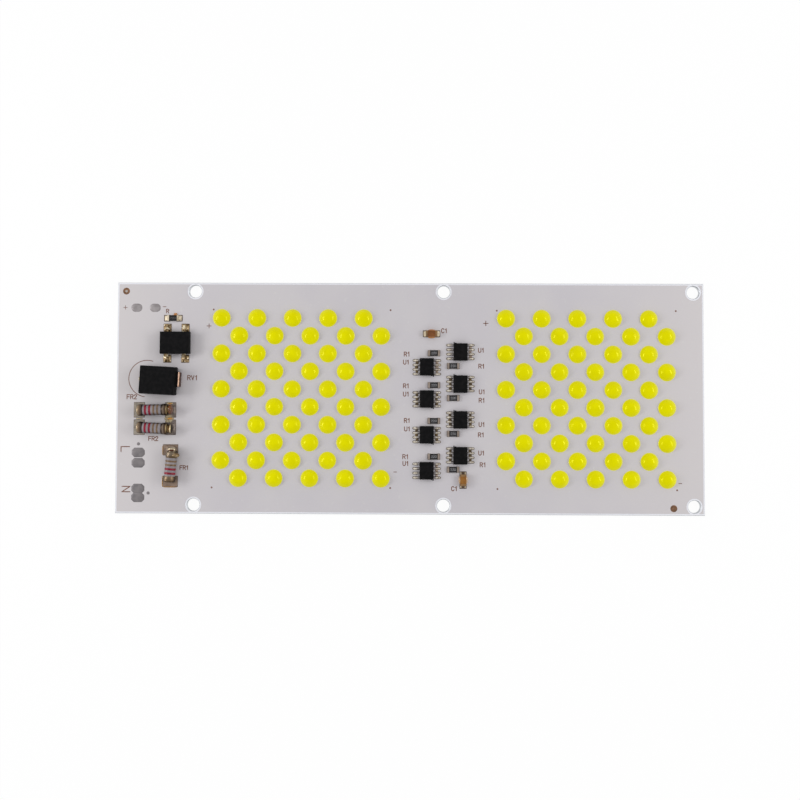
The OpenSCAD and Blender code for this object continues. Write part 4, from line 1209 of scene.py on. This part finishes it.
def ink_piece(name, rows, material, ground):
    """Pillows along strokes: half as long as the stroke and half its width more at each end."""
    start, end, width = rows[:, :2], rows[:, 2:4], rows[:, 4]
    run = end - start
    halves = np.column_stack([(np.linalg.norm(run, axis=1) + width) / 2, width / 2])
    turns = np.degrees(np.arctan2(run[:, Y], run[:, X]))
    put_piece(name, pillows(at_height((start + end) / 2, ground), turns, halves, cushion(stroke_height),
                            squareness=0.6, edge=0.25, steps=(5, 3)), material)


print_scale = 0.9965
small, thin = 1.17, 0.25
words = [
    ("U1", [(-1.1, 10.2), (-1.1, 1.2), (-0.75, -8.6), (-1.15, -18.3),
            (20, 13.6), (20.25, 1.9), (20.2, -7.3), (20.1, -15.3)], small, thin),
    ("R1", [(-0.9, 12.45), (-1.1, 3.5), (-0.8, -6.25), (-1.2, -16.4),
            (20.1, 9.1), (20.2, -0.5), (20, -10.2), (20.5, -18.6)], small, thin),
    ("C1", [(9.6, 19.1), (12.5, -25.3)], small, thin),
    ("+", [(-80.5, 25.45)], 1.35, 0.17),
    ("+", [(-56.75, 20.28)], 1.5, 0.23),
    ("+", [(21.4, 21.2)], 1.6, 0.25),
    ("-", [(-69.4, 25.7), (-4.0, -20.7), (75.8, -23.6)], 1.1, 0.2),
    ("R", [(-68.55, 24.45)], 1.07, thin),
    ("RV1", [(-61.4, 5.6)], 1.26, thin),
    ("FR2", [(-78.35, 0.16)], 1.2, thin),
    ("FR2", [(-72.15, -11.6)], 1.15, thin),
    ("FR1", [(-63.45, -19.7)], 1.08, thin),
    ("L", [(-80.0, -14.6)], 2.4, 0.3, -90),
    ("N", [(-79.65, -25.8)], 2.3, 0.3, 90),
]
legend_rows = np.concatenate([word_strokes(word, x * print_scale, y * print_scale, *style)
                              for word, places, *style in words for x, y in places])
ink = finish("brown_ink", {}, mottled(0.35, 2.0, (104, 66, 50), (132, 98, 84), 0.55, 0.1, span=(0.3, 0.75)))
ink_piece("legend", legend_rows, ink, mask_top)

# %% Corner dots
dot_places = [(-55.3, 24.85), (-5.45, 24.8), (-55.35, -25.15), (-5.35, -25.1),
              (24.4, 24.72), (74.6, 24.75), (24.6, -25.25), (74.65, -25.4)]
dot_half, dot_height = 0.26, 0.015
put_piece("corner_dots", pillows(at_height(dot_places, mask_top), 0, dot_half, cushion(dot_height),
                                 squareness=0.0, steps=(7, 7)), ink)

# %% Values on the resistors
value_height, value_stroke = 0.62, 0.13
for name, nodes, ink_name, dark, light in (
        ("resistor_values", sense_names, "pale_ink", (104, 103, 106), (138, 137, 140)),
        ("bleed_value", ["bleed_resistor"], "dim_ink", (56, 55, 58), (84, 83, 86))):
    value_ink = finish(ink_name, {}, mottled(0.25, 2.0, dark, light, 0.5, 0.1))
    value_rows = np.concatenate([word_strokes("220", *middle(node)[:2], value_height, value_stroke)
                                 for node in nodes])
    ink_piece(name, value_rows, value_ink, resistor_top)

# %% Outline of the surge part
arc_middle = (-73.85, 5.3)
arc_radius = 5.15
arc_stroke = 0.22
arc_turns = np.radians(np.linspace(72, 262, 39))
arc_points = arc_radius * np.column_stack([np.cos(arc_turns), np.sin(arc_turns)]) + arc_middle
arc_rows = np.column_stack([arc_points[:-1], arc_points[1:], np.full(len(arc_points) - 1, arc_stroke)])
ink_piece("arc_outline", arc_rows, ink, mask_top)
